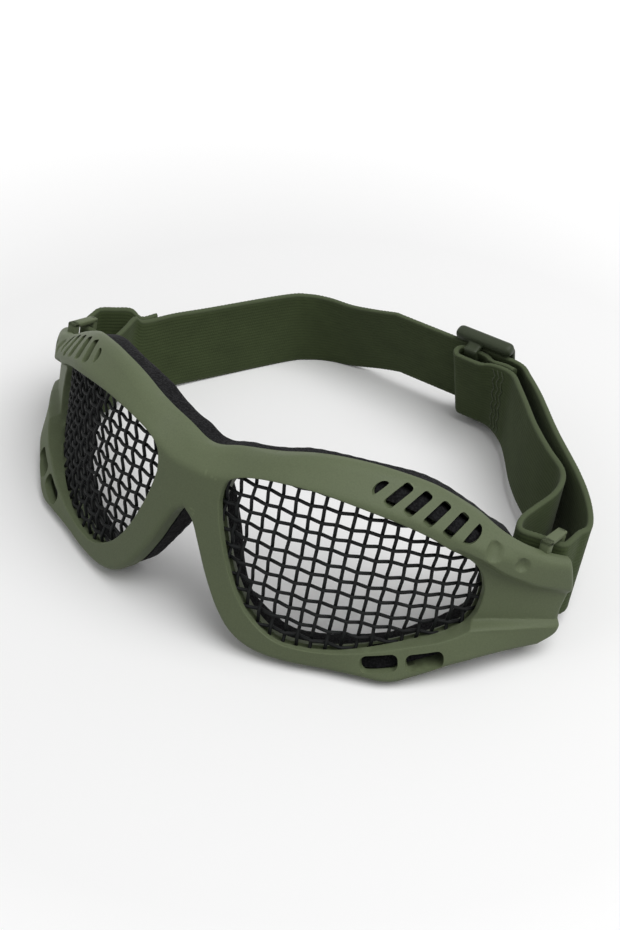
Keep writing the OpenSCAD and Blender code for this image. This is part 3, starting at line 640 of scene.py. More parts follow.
@dataclass
class FaceForm:
    """The unwrapped face that the frame, the foam and the lenses follow, in millimetres.

    s runs round the wrap from the middle, z up the upright face and n outwards from the wrap.
    """

    wrap_r: float = 105.0
    lean: float = 18.5
    wall: float = 2.0
    depth: float = 9.5
    brow_z: float = 57.0
    bridge_z: float = 48.4
    nose_z: float = 32.1
    lobe_z: float = 0.8
    temple_s: float = 105.0
    edge_r: float = 1.6
    recess: float = 3.3
    recess_end: float = 1.5
    flare: float = 2.6
    brow_slope: float = 0.93
    bridge_slope: float = 1.35
    temple_slope: float = 0.4
    lens_in_s: float = 10.2
    lens_out_s: float = 82.0
    lens_top_z: float = 49.7
    lens_low_z: float = 5.8
    rim_lip: float = 2.0
    groove_d: float = 1.2
    mesh_r: float = 78.0
    mesh_t: float = 1.2
    mesh_clear: float = 0.15
    mesh_centre_x: float = 6.8
    shallow: float = 6.0
    nose_depth: float = 5.6
    ridge_w: float = 2.4
    cheek_ridge_w: float = 1.8
    face_front: float = 66.5
    dimple_r: float = 2.5
    dimple_sink: float = 1.5
    steps: int = 14
    shift: np.ndarray = field(default_factory=lambda: np.zeros(3))

    def __post_init__(self) -> None:
        """Works out the outlines and the place of the lens arc."""
        rows = self._stations()
        self.opening = loop_spline(rows[:, 0], [], self.steps)
        corners = [0, 10, 14, 28]
        self.outline = loop_spline(rows[:, 1], corners, self.steps)
        middle, near, far = rows[:3, 1]
        mirrored = near * np.array([-1.0, 1.0])
        for k in range(self.steps):
            self.outline[k] = spline_point(mirrored, middle, near, far, k / self.steps)
        self.free_edge = self.outline[: corners[-1] * self.steps + 1]
        near = self.fold(45.0, 0.0, -self.rim_lip - self.mesh_t / 2 - self.mesh_clear)
        across = near[0] - self.mesh_centre_x
        self.mesh_centre_y = near[1] + math.sqrt(self.mesh_r ** 2 - across ** 2)

    def _stations(self) -> np.ndarray:
        """Matched points [s, z] on the edge of the lens opening and on the outline."""
        i, o, t, w = self.lens_in_s, self.lens_out_s, self.lens_top_z, self.lens_low_z
        brow, lobe, end = self.brow_z, self.lobe_z, self.temple_s
        return np.array([
            [[i + 0.2, t - 8.2], [0, self.bridge_z]],
            [[i + 1.4, t - 5], [9.4, self.bridge_z + 2.5]],
            [[i + 5.8, t - 2.4], [20.8, brow - 3.6]],
            [[i + 14, t - 0.6], [30, brow - 1.2]],
            [[i + 26, t], [39, brow]],
            [[i + 40, t - 1.6], [50, brow]],
            [[o - 20, t - 4.3], [63.5, brow - 2]],
            [[o - 11, t - 8.2], [75.5, brow - 6.6]],
            [[o - 5, t - 11.6], [84, brow - 11]],
            [[o - 1.8, t - 15], [end - 10.5, brow - 14.6]],
            [[o - 0.4, t - 18.4], [end - 1.8, brow - 16.4]],
            [[o, t - 20.8], [end + 0.8, brow - 24.6]],
            [[o - 0.2, w + 19.4], [end, brow - 31]],
            [[o - 1.2, w + 16.2], [end - 0.4, lobe + 19]],
            [[o - 3.8, w + 13.4], [end - 5.2, lobe + 15.3]],
            [[o - 9.7, w + 10.4], [86, lobe + 12.8]],
            [[o - 15.5, w + 8.4], [77.4, lobe + 10.2]],
            [[o - 21.5, w + 6.2], [69, lobe + 6]],
            [[o - 28, w + 3.8], [62.8, lobe + 2.8]],
            [[o - 35, w + 1.6], [55, lobe + 2.2]],
            [[o - 43, w + 0.2], [45.6, lobe + 1]],
            [[i + 21, w + 0.4], [36, lobe]],
            [[i + 14, w + 4.2], [27, lobe]],
            [[i + 9.2, w + 9.4], [20, lobe + 2.4]],
            [[i + 5.6, w + 15.6], [14.6, lobe + 7.6]],
            [[i + 3, w + 21.8], [9.6, lobe + 15.6]],
            [[i + 1.4, w + 26.4], [6, self.nose_z - 8.4]],
            [[i + 0.5, w + 30], [3, self.nose_z - 2.6]],
            [[i, w + 32.4], [0, self.nose_z]],
            [[i, t - 10.8], [0, (self.nose_z + self.bridge_z) / 2]],
        ], float)

    def fold(self, s: Any, z: Any, n: Any) -> np.ndarray:
        """Folds points round the wrap, into the upright face."""
        turn = np.asarray(s, float) / self.wrap_r
        reach = self.wrap_r + np.asarray(n, float)
        across, back = reach * np.sin(turn), self.wrap_r - reach * np.cos(turn)
        return np.stack(np.broadcast_arrays(across, back, z), -1)

    def stand(self, points: np.ndarray) -> np.ndarray:
        """Leans the upright face back as it stands on the floor."""
        sine, cosine = math.sin(math.radians(self.lean)), math.cos(math.radians(self.lean))
        y = points[..., 1] * cosine + points[..., 2] * sine - self.face_front
        z = -points[..., 1] * sine + points[..., 2] * cosine
        return np.stack([points[..., 0], y, z], -1) + self.shift

    def seat(self, points: np.ndarray) -> None:
        """Finds the shift that puts the standing frame on its CAD node."""
        low, high = (np.array(corner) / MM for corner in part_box("frame"))
        self.shift = np.array([0, low[1] - points[:, 1].min(), high[2] - points[:, 2].max()])
        LOG.info("face shift in mm: %s", np.round(self.shift, 3))

    def lookup(self, s: np.ndarray, line: Sequence[Sequence[float]]) -> np.ndarray:
        """Height of a line of [s, z] pairs."""
        rows = np.array(line, float)
        return np.interp(s, rows[:, 0], rows[:, 1])

    def front(self, s: Any, z: Any) -> np.ndarray:
        """Front of the frame, without its rounded edges."""
        s, z = np.asarray(s, float), np.asarray(z, float)
        brow, lobe, end = self.brow_z, self.lobe_z, self.temple_s
        roll_line = [[0, brow - 13], [9, brow - 12.4], [13, brow - 10.2], [18, brow - 8.4],
                     [24, brow - 7.2], [36, brow - 6.6], [46, brow - 6.8], [52, brow - 7.4],
                     [58, brow - 8.2], [64.5, brow - 9.6], [70, brow - 11.4], [76, brow - 13],
                     [84, brow - 15.6], [94, brow - 17], [end, brow - 18]]
        ridge = [[60, brow - 13.4], [72, brow - 15], [78, brow - 17.2], [85, brow - 20.6],
                 [94, brow - 23.6], [end, brow - 25.4]]
        cheek = [[60, lobe + 15], [72, lobe + 18], [78, lobe + 19.8], [86, lobe + 21],
                 [96, lobe + 21.7], [end, lobe + 21.7]]
        fall = [[40, lobe + 6], [50, lobe + 8.5], [60, lobe + 12], [70, lobe + 16],
                [80, lobe + 19], [95, lobe + 20]]
        over = ramp(z - self.lookup(s, ridge), -self.ridge_w / 2, self.ridge_w / 2)
        under = ramp(self.lookup(s, cheek) - z, -self.cheek_ridge_w / 2, self.cheek_ridge_w / 2)
        slope = mix(mix(self.bridge_slope, self.brow_slope, ramp(s, 10, 38)), self.temple_slope,
                    ramp(s, 78, 92))
        roll_from = [self.lookup(np.abs(s + d), roll_line) for d in (-4, -2, 0, 2, 4)]
        roll = soft_plus(z - np.mean(roll_from, axis=0), 0.5) * slope
        sunk = self.recess * ramp(s, 66, 80) - (self.recess - self.recess_end) * ramp(s, 80, end)
        flared = self.flare * ramp(s, 42, 60) * (1 - ramp(s, 78, 98))
        out = np.clip((self.lookup(s, fall) - z) / 9, 0, 1)
        return -sunk * (1 - over) * (1 - under) - roll + flared * out - self.dimple(s, z)

    def dimple(self, s: np.ndarray, z: np.ndarray) -> np.ndarray:
        """Depth of the two round dimples on the temple."""
        depth = np.zeros(np.broadcast(s, z).shape)
        for place, size in [((80.6, self.brow_z - 14.2), 1.0), ((88.6, self.brow_z - 17), 0.78)]:
            away = np.hypot(s - place[0], z - place[1]) / (self.dimple_r * size)
            depth += self.dimple_sink * size * np.clip(1 - away ** 2, 0, 1)
        return depth

    def to_outline(self, points: np.ndarray) -> np.ndarray:
        """Distance of points [s, z] from the free outline."""
        a, b = self.free_edge[:-1], self.free_edge[1:]
        way = b - a
        along = np.einsum("pmk,mk->pm", points[:, None] - a[None], way)
        t = along / np.maximum((way ** 2).sum(1), 1e-9)
        gap = points[:, None] - a[None] - np.clip(t, 0, 1)[..., None] * way[None]
        return np.linalg.norm(gap, axis=2).min(1)

    def face_plane(self, z: Any) -> np.ndarray:
        """Back plane of the frame away from the nose, shallower at its low edge."""
        return -mix(self.shallow, self.depth, ramp(z, self.lens_low_z + 2, self.lens_low_z + 22))

    def back(self, s: Any, z: Any) -> np.ndarray:
        """Back of the frame, shallower beside the nose, where the foam fills the rest."""
        plane = self.face_plane(z)
        away = np.maximum(ramp(s, 16, 26), ramp(z, 36, 44))
        return mix(np.maximum(plane, -self.nose_depth), plane, away)

    def mesh_n(self, s: Any) -> np.ndarray:
        """Place of the middle of the lens along the normal of the wrap."""
        turn = np.asarray(s, float) / self.wrap_r
        x, y = self.mesh_centre_x, self.mesh_centre_y - self.wrap_r
        along = x * np.sin(turn) - y * np.cos(turn)
        return along + np.sqrt(self.mesh_r ** 2 - x * x - y * y + along ** 2) - self.wrap_r


@dataclass
class FrameShell:
    """The moulded face frame: a hollow shell with vents and the two strap bars."""

    form: FaceForm
    front_steps: int = 44
    lip_r: float = 0.5
    groove_half: float = 0.92
    draft: float = 0.8
    hollow_min: float = 0.5
    lip_back: float = 0.3
    thin_wall: float = 1.5
    slot_len: float = 6.8
    slot_w: float = 2.6
    slot_s: float = 54.0
    slot_pitch: float = 5.2
    slot_skew: float = 31.0
    slot_count: int = 4
    slot_tilt: float = 14.0
    slot_turn: float = -18.0
    slot_round: float = 0.85
    vent_depth: float = 5.0
    cheek_len: float = 9.4
    cheek_h: float = 4.3
    cheek_round: float = 1.7
    cheek_z: float = 7.3
    cheek_rise: float = 3.0
    cheek_tilt: float = -8.0
    cheek_skew: float = 74.0
    cheek_turn: float = -15.0
    cheek_s: float = 59.0
    cheek_pitch: float = 11.1
    bar_set: float = 1.4
    bar_in: float = 9.2
    bar_z: float = 30.0
    bar_w: float = 2.8
    bar_d: float = 1.8
    arm_t: float = 1.5
    arm_reach: float = 9.6
    arm_low_reach: float = 12.6
    bar_gap: float = 27.2
    riser_t: float = 2.6
    riser_h: float = 5.0

    @property
    def bar_at(self) -> np.ndarray:
        """Middle of the left strap bar, upright."""
        return self.form.fold(self.form.temple_s - self.bar_set, self.bar_z, -self.bar_in)

    def section(self, a: np.ndarray, b: np.ndarray) -> np.ndarray:
        """Closed section of the shell between the opening and the outline.

        Args:
            a: Point [s, z] on the edge of the opening.
            b: Point [s, z] on the outline.

        Returns:
            Rows [s, z, n] round the section.
        """
        form = self.form
        width = float(np.linalg.norm(b - a))
        quarter = np.linspace(0, math.pi / 2, 6)
        inner = self.lip_r * (1 - np.cos(quarter))
        outer = width - form.edge_r * (1 - np.cos(np.linspace(math.pi / 2, 0, 8)))
        flat = np.linspace(inner[-1], outer[0], self.front_steps)[1:-1]
        distance = np.concatenate([inner, flat, outer])
        place = a + (b - a) * (distance / width)[:, None]
        front = form.front(place[:, 0], place[:, 1]) - edge_drop(form.to_outline(place), form.edge_r)
        front = front - edge_drop(distance, self.lip_r)
        hollow = ramp(width, 2 * form.wall + 1.6, 2 * form.wall + 5)
        thin = ramp(b[0], 68, 88)
        skin_t = mix(form.wall, self.thin_wall, thin)
        side = mix(form.back(*b), front[-1] - skin_t - self.lip_back, thin)
        roof_d = np.linspace(width - form.wall, form.wall, 9)
        roof_place = a + (b - a) * (roof_d / width)[:, None]
        skin = mix(form.back(roof_place[:, 0], roof_place[:, 1]) + self.hollow_min,
                   form.front(roof_place[:, 0], roof_place[:, 1]) - skin_t, hollow)
        skin[0] = max(min(skin[0], front[-1] - skin_t), side + self.hollow_min / 2)
        bottom = form.back(*a)
        grooved = a + (b - a) * form.groove_d / width
        near, deep = form.mesh_n(a[0]), form.mesh_n(grooved[0])
        tail_d = [form.wall, self.draft + 0.3, self.draft, 0.0, form.groove_d, form.groove_d, 0.0]
        tail_n = [bottom, bottom, bottom + 0.3, near - self.groove_half, deep - self.groove_half,
                  deep + self.groove_half, near + self.groove_half]
        all_d = np.concatenate([distance, [width, width - 0.3, width - form.wall], roof_d, tail_d])
        all_n = np.concatenate([front, [side + 0.3, side, side], skin, tail_n])
        spot = a + (b - a) * (all_d / width)[:, None]
        return np.column_stack([spot, all_n])

    def half(self) -> MeshData:
        """Shell of the wearer's left half, upright and before its vents are cut."""
        rows = [self.section(a, b) for a, b in zip(self.form.opening, self.form.outline)]
        stacked = np.array(rows)
        points = self.form.fold(stacked[..., 0], stacked[..., 1], stacked[..., 2]).reshape(-1, 3)
        return points, ring_faces(len(rows), stacked.shape[1], True)

    def on_face(self, s: float, z: float, n: float, tilt: float, skew: float,
                turn: float) -> Matrix:
        """Axes set on the face at a point of the wrap.

        Args:
            s: Place round the wrap.
            z: Height on the upright face.
            n: Place outwards from the wrap.
            tilt: Degrees that the outward axis tilts up.
            skew: Degrees that the axes turn about the outward axis.
            turn: Degrees that the outward axis turns further round the wrap.

        Returns:
            The transform, in millimetres.
        """
        place = Vector(self.form.fold(s, z, n))
        round_wrap = Matrix.Rotation(s / self.form.wrap_r + math.radians(turn), 4, "Z")
        rise = Matrix.Rotation(math.radians(90 - tilt), 4, "X")
        spin = Matrix.Rotation(math.radians(-skew), 4, "Z")
        return Matrix.Translation(place) @ round_wrap @ rise @ spin

    @staticmethod
    def slot_shape(length: float, width: float, corner: float) -> np.ndarray:
        """Rounded rectangle, as rows of x, y."""
        rows = []
        for x, y, start in [(1, 1, 0), (-1, 1, 90), (-1, -1, 180), (1, -1, 270)]:
            for step in range(7):
                turn = math.radians(start + step * 15)
                rows.append([x * (width / 2 - corner) + corner * math.cos(turn),
                             y * (length / 2 - corner) + corner * math.sin(turn)])
        return np.array(rows)

    @staticmethod
    def leaf_shape(length: float, width: float, way: int) -> np.ndarray:
        """Slot with one nearly straight side and one bowed side, as rows of x, y."""
        turns = np.linspace(-math.pi / 2, math.pi / 2, 17)
        bulge = width * np.cos(turns) ** 0.9 - width / 2
        bowed = np.column_stack([bulge, length / 2 * np.sin(turns)])
        straight = np.array([[-width / 2 - 0.12, length / 4], [-width / 2 - 0.12, -length / 4]])
        rows = np.concatenate([bowed, straight])
        rows[:, 0] *= way
        return rows

    def prism(self, shape: np.ndarray, axes: Matrix, depth: float) -> MeshData:
        """Prism of a flat shape on the given axes, reaching depth to both sides."""
        low = np.column_stack([shape, np.full(len(shape), -depth)])
        high = np.column_stack([shape, np.full(len(shape), depth)])
        points = np.array([tuple(axes @ Vector(row)) for row in np.concatenate([low, high])])
        return points, ring_faces(2, len(shape), False)

    def vent_prisms(self) -> list[MeshData]:
        """Cutters of the brow slots and the cheek vents on the wearer's left."""
        form, parts = self.form, []
        line = [[48, form.brow_z - 2.8], [54, form.brow_z - 4], [59.4, form.brow_z - 5.2],
                [64.4, form.brow_z - 6.8], [69.5, form.brow_z - 8.8], [75, form.brow_z - 10.9]]
        for k in range(-1, self.slot_count + 1):
            s = self.slot_s + k * self.slot_pitch
            z = float(form.lookup(s, line))
            if k < 0:
                shape = self.leaf_shape(self.slot_len - 2.6, self.slot_w - 0.9, -1)
            elif k == self.slot_count:
                shape = self.leaf_shape(self.slot_len - 1.2, self.slot_w - 0.3, 1)
            else:
                shape = self.slot_shape(self.slot_len, self.slot_w, self.slot_round)
            axes = self.on_face(s, z, float(form.front(s, z)), self.slot_tilt, self.slot_skew,
                                self.slot_turn)
            parts.append(self.prism(shape, axes, self.vent_depth))
        for k in range(2):
            s, z = self.cheek_s + k * self.cheek_pitch, form.lobe_z + self.cheek_z + k * self.cheek_rise
            axes = self.on_face(s, z, 0, self.cheek_tilt, self.cheek_skew, self.cheek_turn)
            shape = self.slot_shape(self.cheek_len, self.cheek_h, self.cheek_round)
            parts.append(self.prism(shape, axes, 2 * self.vent_depth))
        return parts

    def strap_bar(self) -> list[MeshData]:
        """Bar at the temple with its two arms and risers, upright."""
        bar_x, bar_y, bar_z = self.bar_at
        left, right = bar_x - self.bar_w / 2, bar_x + self.bar_w / 2
        top, low = bar_z + self.bar_gap / 2, bar_z - self.bar_gap / 2 - self.arm_t
        back, front = bar_y + self.bar_d / 2, bar_y - self.arm_reach
        low_front = bar_y - self.arm_low_reach
        boxes = [
            ((left, bar_y - self.bar_d / 2, low), (right, back, top + self.arm_t), 0.6),
            ((left, front, top), (right, back, top + self.arm_t), 0.5),
            ((left, front, top - self.riser_h),
             (right, front + self.riser_t, top + self.arm_t), 0.5),
            ((left, low_front, low), (right, back, low + self.arm_t), 0.5),
            ((left, low_front, low), (right, low_front + self.riser_t, low + self.riser_h), 0.5),
        ]
        return [rounded_box(a, b, radius) for a, b, radius in boxes]

    def build(self, material: bpy.types.Material) -> bpy.types.Object:
        """Builds the shell, cuts its vents, mirrors it and puts it in place."""
        points, faces = self.half()
        self.form.seat(self.form.stand(points))
        side = piece_from("frame_side", points, faces)
        soften(side)
        cutters = piece_from("vent_cutters", *join_meshes(self.vent_prisms()))
        soften(cutters)
        cut = side.modifiers.new("vents", "BOOLEAN")
        cut.operation, cut.object, cut.solver = "DIFFERENCE", cutters, "EXACT"
        applied(side)
        half_points = np.array([tuple(vert.co) for vert in side.data.vertices]) / MM
        half_faces = [list(face.vertices) for face in side.data.polygons]
        bars = join_meshes(self.strap_bar())
        parts = []
        for way in (1, -1):
            flip = np.array([way, 1, 1])
            parts.append((half_points * flip, [face[::way] for face in half_faces]))
            parts.append((bars[0] * flip, [face[::way] for face in bars[1]]))
        joined, all_faces = join_meshes(parts)
        removed(side)
        removed(cutters)
        points = self.form.stand(joined)
        points[:, 2] = np.maximum(points[:, 2], 0.0)
        shell = piece_from("frame_shell", points, all_faces)
        close_middle(shell)
        soften(shell, 32.0)
        settle(shell, material, ["frame"], Body.FACE)
        return shell


@dataclass
class WovenLens:
    """A lens of plain woven, crimped wire, bent to an arc and held in the groove of the rim."""

    form: FaceForm
    side: Side
    pitch: float = 3.7
    wire_d: float = 0.95
    unevenness: float = 0.12
    steps: int = 10

    def outline(self) -> np.ndarray:
        """Edge of the lens as rows of turn, z on its own arc."""
        form = self.form
        way = unit(form.outline - form.opening)
        edge = form.opening + way * (form.groove_d - form.mesh_clear)
        spot = form.fold(edge[:, 0], edge[:, 1], form.mesh_n(edge[:, 0]))
        turn = np.arcsin((spot[:, 0] - form.mesh_centre_x) / form.mesh_r)
        return np.column_stack([turn, edge[:, 1]])

    @staticmethod
    def crossings(edge: np.ndarray, axis: int, value: float) -> list[float]:
        """Where a line at value on one axis crosses the outline, on the other axis."""
        a, b = edge, np.roll(edge, -1, axis=0)
        hit = (a[:, axis] > value) != (b[:, axis] > value)
        t = (value - a[hit, axis]) / (b[hit, axis] - a[hit, axis])
        return sorted(mix(a[hit, 1 - axis], b[hit, 1 - axis], t))

    @staticmethod
    def crimp(phase: np.ndarray) -> np.ndarray:
        """Wave of a crimped wire: straight legs with rounded bends."""
        return np.arcsin(0.93 * np.cos(phase)) / math.asin(0.93)

    def wires(self) -> list[MeshData]:
        """All wires of the lens, upright."""
        form, edge = self.form, self.outline()
        step = self.pitch / form.mesh_r
        amp = self.wire_d / 2
        rng = np.random.default_rng(7)
        columns = [0.95 * step + c * step for c in range(-1, 23)]
        rows = [form.lens_low_z - 0.3 * self.pitch + r * self.pitch for r in range(-1, 15)]
        drift = rng.normal(0, self.unevenness, 64)
        parts = []
        for c, turn in enumerate(columns):
            turn = turn + drift[c] / form.mesh_r
            ends = self.crossings(edge, 0, turn)
            for low, high in zip(ends[::2], ends[1::2]):
                z = np.linspace(low, high, max(3, int((high - low) / self.pitch * self.steps)))
                wave = self.crimp(math.pi * (z - rows[0]) / self.pitch) * (-1) ** c
                sway = 0.1 * np.sin(z * 0.21 + c)
                parts.append(self.wire(np.full_like(z, turn) + sway / form.mesh_r, z, amp * wave))
        for r, height in enumerate(rows):
            height = height + drift[40 + r]
            ends = self.crossings(edge, 1, height)
            for low, high in zip(ends[::2], ends[1::2]):
                turn = np.linspace(low, high, max(3, int((high - low) / step * self.steps)))
                wave = -self.crimp(math.pi * (turn - columns[0]) / step) * (-1) ** r
                parts.append(self.wire(turn, height + 0.1 * np.sin(turn * 17 + r), amp * wave))
        return parts

    def wire(self, turn: np.ndarray, z: np.ndarray, lift: np.ndarray) -> MeshData:
        """One wire along the lens, lifted off its arc by its crimps."""
        form = self.form
        outwards = np.column_stack([np.sin(turn), -np.cos(turn), np.zeros_like(turn)])
        reach = (form.mesh_r + lift)[:, None]
        centre = np.tile([form.mesh_centre_x, form.mesh_centre_y], (len(turn), 1))
        path = outwards * reach + np.column_stack([centre, z])
        return tube(path, outwards, self.wire_d / 2)

    def build(self, material: bpy.types.Material) -> bpy.types.Object:
        """Builds the woven lens in place of its CAD sheet."""
        points, faces = join_meshes(self.wires())
        points = points * np.array([self.side.value, 1, 1])
        node = f"mesh_lens_{self.side.word}"
        lens = piece_from(f"lens_weave_{self.side.word}", self.form.stand(points), faces)
        soften(lens, 60.0)
        settle(lens, material, [node], Body.FACE)
        return lens


@dataclass
class FaceFoam:
    """The foam ring that seals the frame against the face."""

    form: FaceForm
    thick: float = 9.4
    low_thick: float = 6.6
    brow_thick: float = 7.0
    width: float = 7.0
    inset: float = 3.0
    low_inset: float = 1.6
    nose_inset: float = 3.0
    least_w: float = 3.5
    nose_past: float = 0.3
    bridge_inset: float = 0.6
    brow_inset: float = 2.0
    vent_inset: float = 0.8
    crown: float = 2.6
    seat_gap: float = 0.1

    def edge(self, i: int) -> np.ndarray:
        """Outer edge [s, z] of the foam at one step round the lens.

        Args:
            i: Step round the lens.

        Returns:
            The point, past the outline at the nose and inside it at the brow.
        """
        form = self.form
        a, b = form.opening[i], form.outline[i]
        width = float(np.linalg.norm(b - a))
        brow = ramp(b[1], 40, 46)
        nose = (1 - brow) * (1 - ramp(b[0], 14, 24))
        past = mix(-0.9, 0.4, ramp(b[1], form.lobe_z + 0.4, form.lobe_z + 8))
        plain = min(mix(width + past, width - 2.4, ramp(width, 7, 12)), self.width + self.inset)
        at_brow = width - mix(mix(self.bridge_inset, self.brow_inset, ramp(b[0], 6, 24)),
                              self.vent_inset, ramp(b[0], 44, 62))
        reach = mix(mix(plain, at_brow, brow), width + self.nose_past, nose)
        level = b - np.array([0.0, mix(self.nose_past, self.bridge_inset, brow)])
        return mix(level, a + (b - a) * reach / width, ramp(b[0], 0, 8))

    def thickness(self, s: np.ndarray, z: np.ndarray) -> np.ndarray:
        """Thickness of the foam behind the frame."""
        form = self.form
        plain = mix(self.low_thick, self.thick, ramp(z, form.lens_low_z + 2, form.lens_low_z + 22))
        thin = np.maximum(ramp(z, 30, 44), ramp(s, 74, 90))
        middle = mix(0.82, 1.0, np.maximum(ramp(s, 0, 8), 1 - ramp(z, 38, 44)))
        return mix(plain, self.brow_thick, thin) * middle + form.back(s, z) - form.face_plane(z)

    def section(self, i: int) -> np.ndarray:
        """Closed section of the foam at one step round the lens, as rows [s, z, n]."""
        form = self.form
        a, b = form.opening[i], self.edge(i)
        reach = float(np.linalg.norm(b - a))
        rise = ramp(a[1], form.lens_low_z + 2, form.lens_low_z + 8)
        inner = mix(self.low_inset, self.inset, rise)
        inner += self.nose_inset * (1 - ramp(a[0], form.lens_in_s + 3, form.lens_in_s + 14))
        inner = min(inner, reach - self.least_w)
        crown = float(ramp(b[0], 0, 8)) * min(self.crown, (reach - inner) / 2)
        turns = np.linspace(0, math.pi / 2, 8)
        rows = [[inner, 0.0], [reach, 0.0]]
        rows += [[reach - crown * (1 - math.cos(t)), 0.62 + 0.38 * math.sin(t)] for t in turns]
        rows += [[inner + 0.9, 0.9], [inner + 0.3, 0.86], [inner, 0.78], [inner, 0.4]]
        table = np.array(rows)
        place = a + (b - a) * (table[:, :1] / reach)
        s, z = place[:, 0], place[:, 1]
        n = form.back(s, z) - self.seat_gap - table[:, 1] * self.thickness(s, z)
        return np.column_stack([place, n])

    def build(self, material: bpy.types.Material) -> bpy.types.Object:
        """Builds the ring, with the slight unevenness of cut foam."""
        form = self.form
        table = np.array([self.section(i) for i in range(len(form.opening))])
        half = form.fold(table[..., 0], table[..., 1], table[..., 2]).reshape(-1, 3)
        faces = ring_faces(len(table), table.shape[1], True)
        parts = [(half * np.array([way, 1, 1]), [face[::way] for face in faces]) for way in (1, -1)]
        points, all_faces = join_meshes(parts)
        points = form.stand(points)
        uneven = 0.06 * np.sin(points * 1.9 + np.roll(points, 1, axis=1) * 1.3)
        points = points + uneven * ramp(np.abs(points[:, :1]), 0.0, 3.0)
        points[:, 2] = np.maximum(points[:, 2], 0.0)
        foam = piece_from("foam_ring", points, all_faces)
        close_middle(foam)
        soften(foam, 50.0)
        settle(foam, material, ["face_foam"], Body.FACE)
        return foam


@dataclass
class VentFoam:
    """A foam strip in the hollow behind the brow slots or the cheek vents."""

    form: FaceForm
    band: str
    side: Side
    span: tuple[float, float]
    thick: float = 2.4
    skin_gap: float = 2.3

    def build(self, material: bpy.types.Material) -> bpy.types.Object:
        """Builds the strip in place of its CAD solid."""
        form = self.form
        steps = range(round(self.span[0] * form.steps), round(self.span[1] * form.steps) + 1)
        rows = []
        for i in steps:
            a, b = form.opening[i], form.outline[i]
            q = np.array([0.35, 0.5, 0.65, 0.65, 0.5, 0.35])
            place = a + (b - a) * q[:, None]
            top = form.front(place[:, 0], place[:, 1]) - self.skin_gap
            low = np.maximum(top - self.thick, form.back(place[:, 0], place[:, 1]))
            rows.append(np.column_stack([place, np.where(np.arange(6) < 3, top, low)]))
        table = np.array(rows)
        points = form.fold(table[..., 0], table[..., 1], table[..., 2]).reshape(-1, 3)
        points = points * np.array([self.side.value, 1, 1])
        strip = piece_from(f"{self.band}_strip_{self.side.word}", form.stand(points),
                           ring_faces(len(rows), 6, False))
        soften(strip, 50.0)
        settle(strip, material, [f"{self.band}_vent_foam_{self.side.word}"], Body.FACE)
        return strip


# The webbing, as one length of ribbon that is followed from its sewn end to the slider.


@dataclass
class Ribbon:
    """Webbing along stations [x, y, z, tilt] of its lower edge, in millimetres.

    u runs along the webbing and v up its width, both in millimetres.
    """

    stations: np.ndarray
    width: float = 25.4
    thick: float = 1.6
    steps: int = 12
    round_edge: float = 0.7
    spacing: float = 0.6

    def __post_init__(self) -> None:
        """Works out the lower edge and the directions across the webbing."""
        line = open_spline(self.stations, self.steps)
        way = np.gradient(line[:, :2], axis=0)
        way[1:-1] = line[2:, :2] - line[:-2, :2]
        level = np.zeros(len(line))
        self.out = np.column_stack([unit(np.column_stack([-way[:, 1], way[:, 0]])), level])
        tilt = np.radians(line[:, 3])
        self.up = np.column_stack([level, np.sin(tilt), np.cos(tilt)])
        self.low = line[:, :3]
        middle = self.low + self.up * self.width / 2
        gaps = np.linalg.norm(np.diff(middle, axis=0), axis=1)
        self.u = np.concatenate([[0.0], np.cumsum(gaps)])

    def at(self, u: np.ndarray, v: np.ndarray, lift: np.ndarray) -> np.ndarray:
        """Points on the webbing, lifted off its middle layer along its out direction."""
        pick = [np.column_stack([np.interp(u, self.u, rows[:, k]) for k in range(3)])
                for rows in (self.low, self.up, self.out)]
        return pick[0] + pick[1] * np.asarray(v)[:, None] + pick[2] * np.asarray(lift)[:, None]

    def profile(self) -> np.ndarray:
        """Closed section of the webbing as rows of v, lift."""
        turns = np.linspace(0, math.pi / 2, 5)
        rise = self.round_edge * (1 - np.cos(turns))
        half = self.thick / 2 * np.sin(np.linspace(0.2, math.pi / 2, 5))
        inner_v = np.linspace(rise[-1], self.width - rise[-1], 15)[1:-1]
        v = np.concatenate([rise, inner_v, self.width - rise[::-1]])
        lift = np.concatenate([half, np.full(len(inner_v), self.thick / 2 - 0.05), half[::-1]])
        return np.column_stack([np.concatenate([v, v[::-1]]), np.concatenate([lift, -lift[::-1]])])

    def piece(self, name: str, from_u: float, to_u: float) -> bpy.types.Object:
        """Makes a stretch of the webbing.

        Args:
            name: Name of the piece.
            from_u: Where it starts along the webbing.
            to_u: Where it ends.

        Returns:
            The new piece.
        """
        rings = np.linspace(from_u, to_u, max(2, int((to_u - from_u) / self.spacing)))
        profile = self.profile()
        u = np.repeat(rings, len(profile))
        v, lift = np.tile(profile[:, 0], len(rings)), np.tile(profile[:, 1], len(rings))
        edge = np.minimum(v, self.width - v) < 0.5
        nibble = np.where(edge, 0.07 * np.sin(u * 2 * math.pi / 1.3), 0.0) * np.where(v < 1, 1, -1)
        points = self.at(u, v + nibble, lift)
        points[:, 2] = np.maximum(points[:, 2], 0.0)
        faces = ring_faces(len(rings), len(profile), False)
        piece = piece_from(name, points, faces, np.column_stack([u, v]))
        soften(piece, 60.0)
        return piece


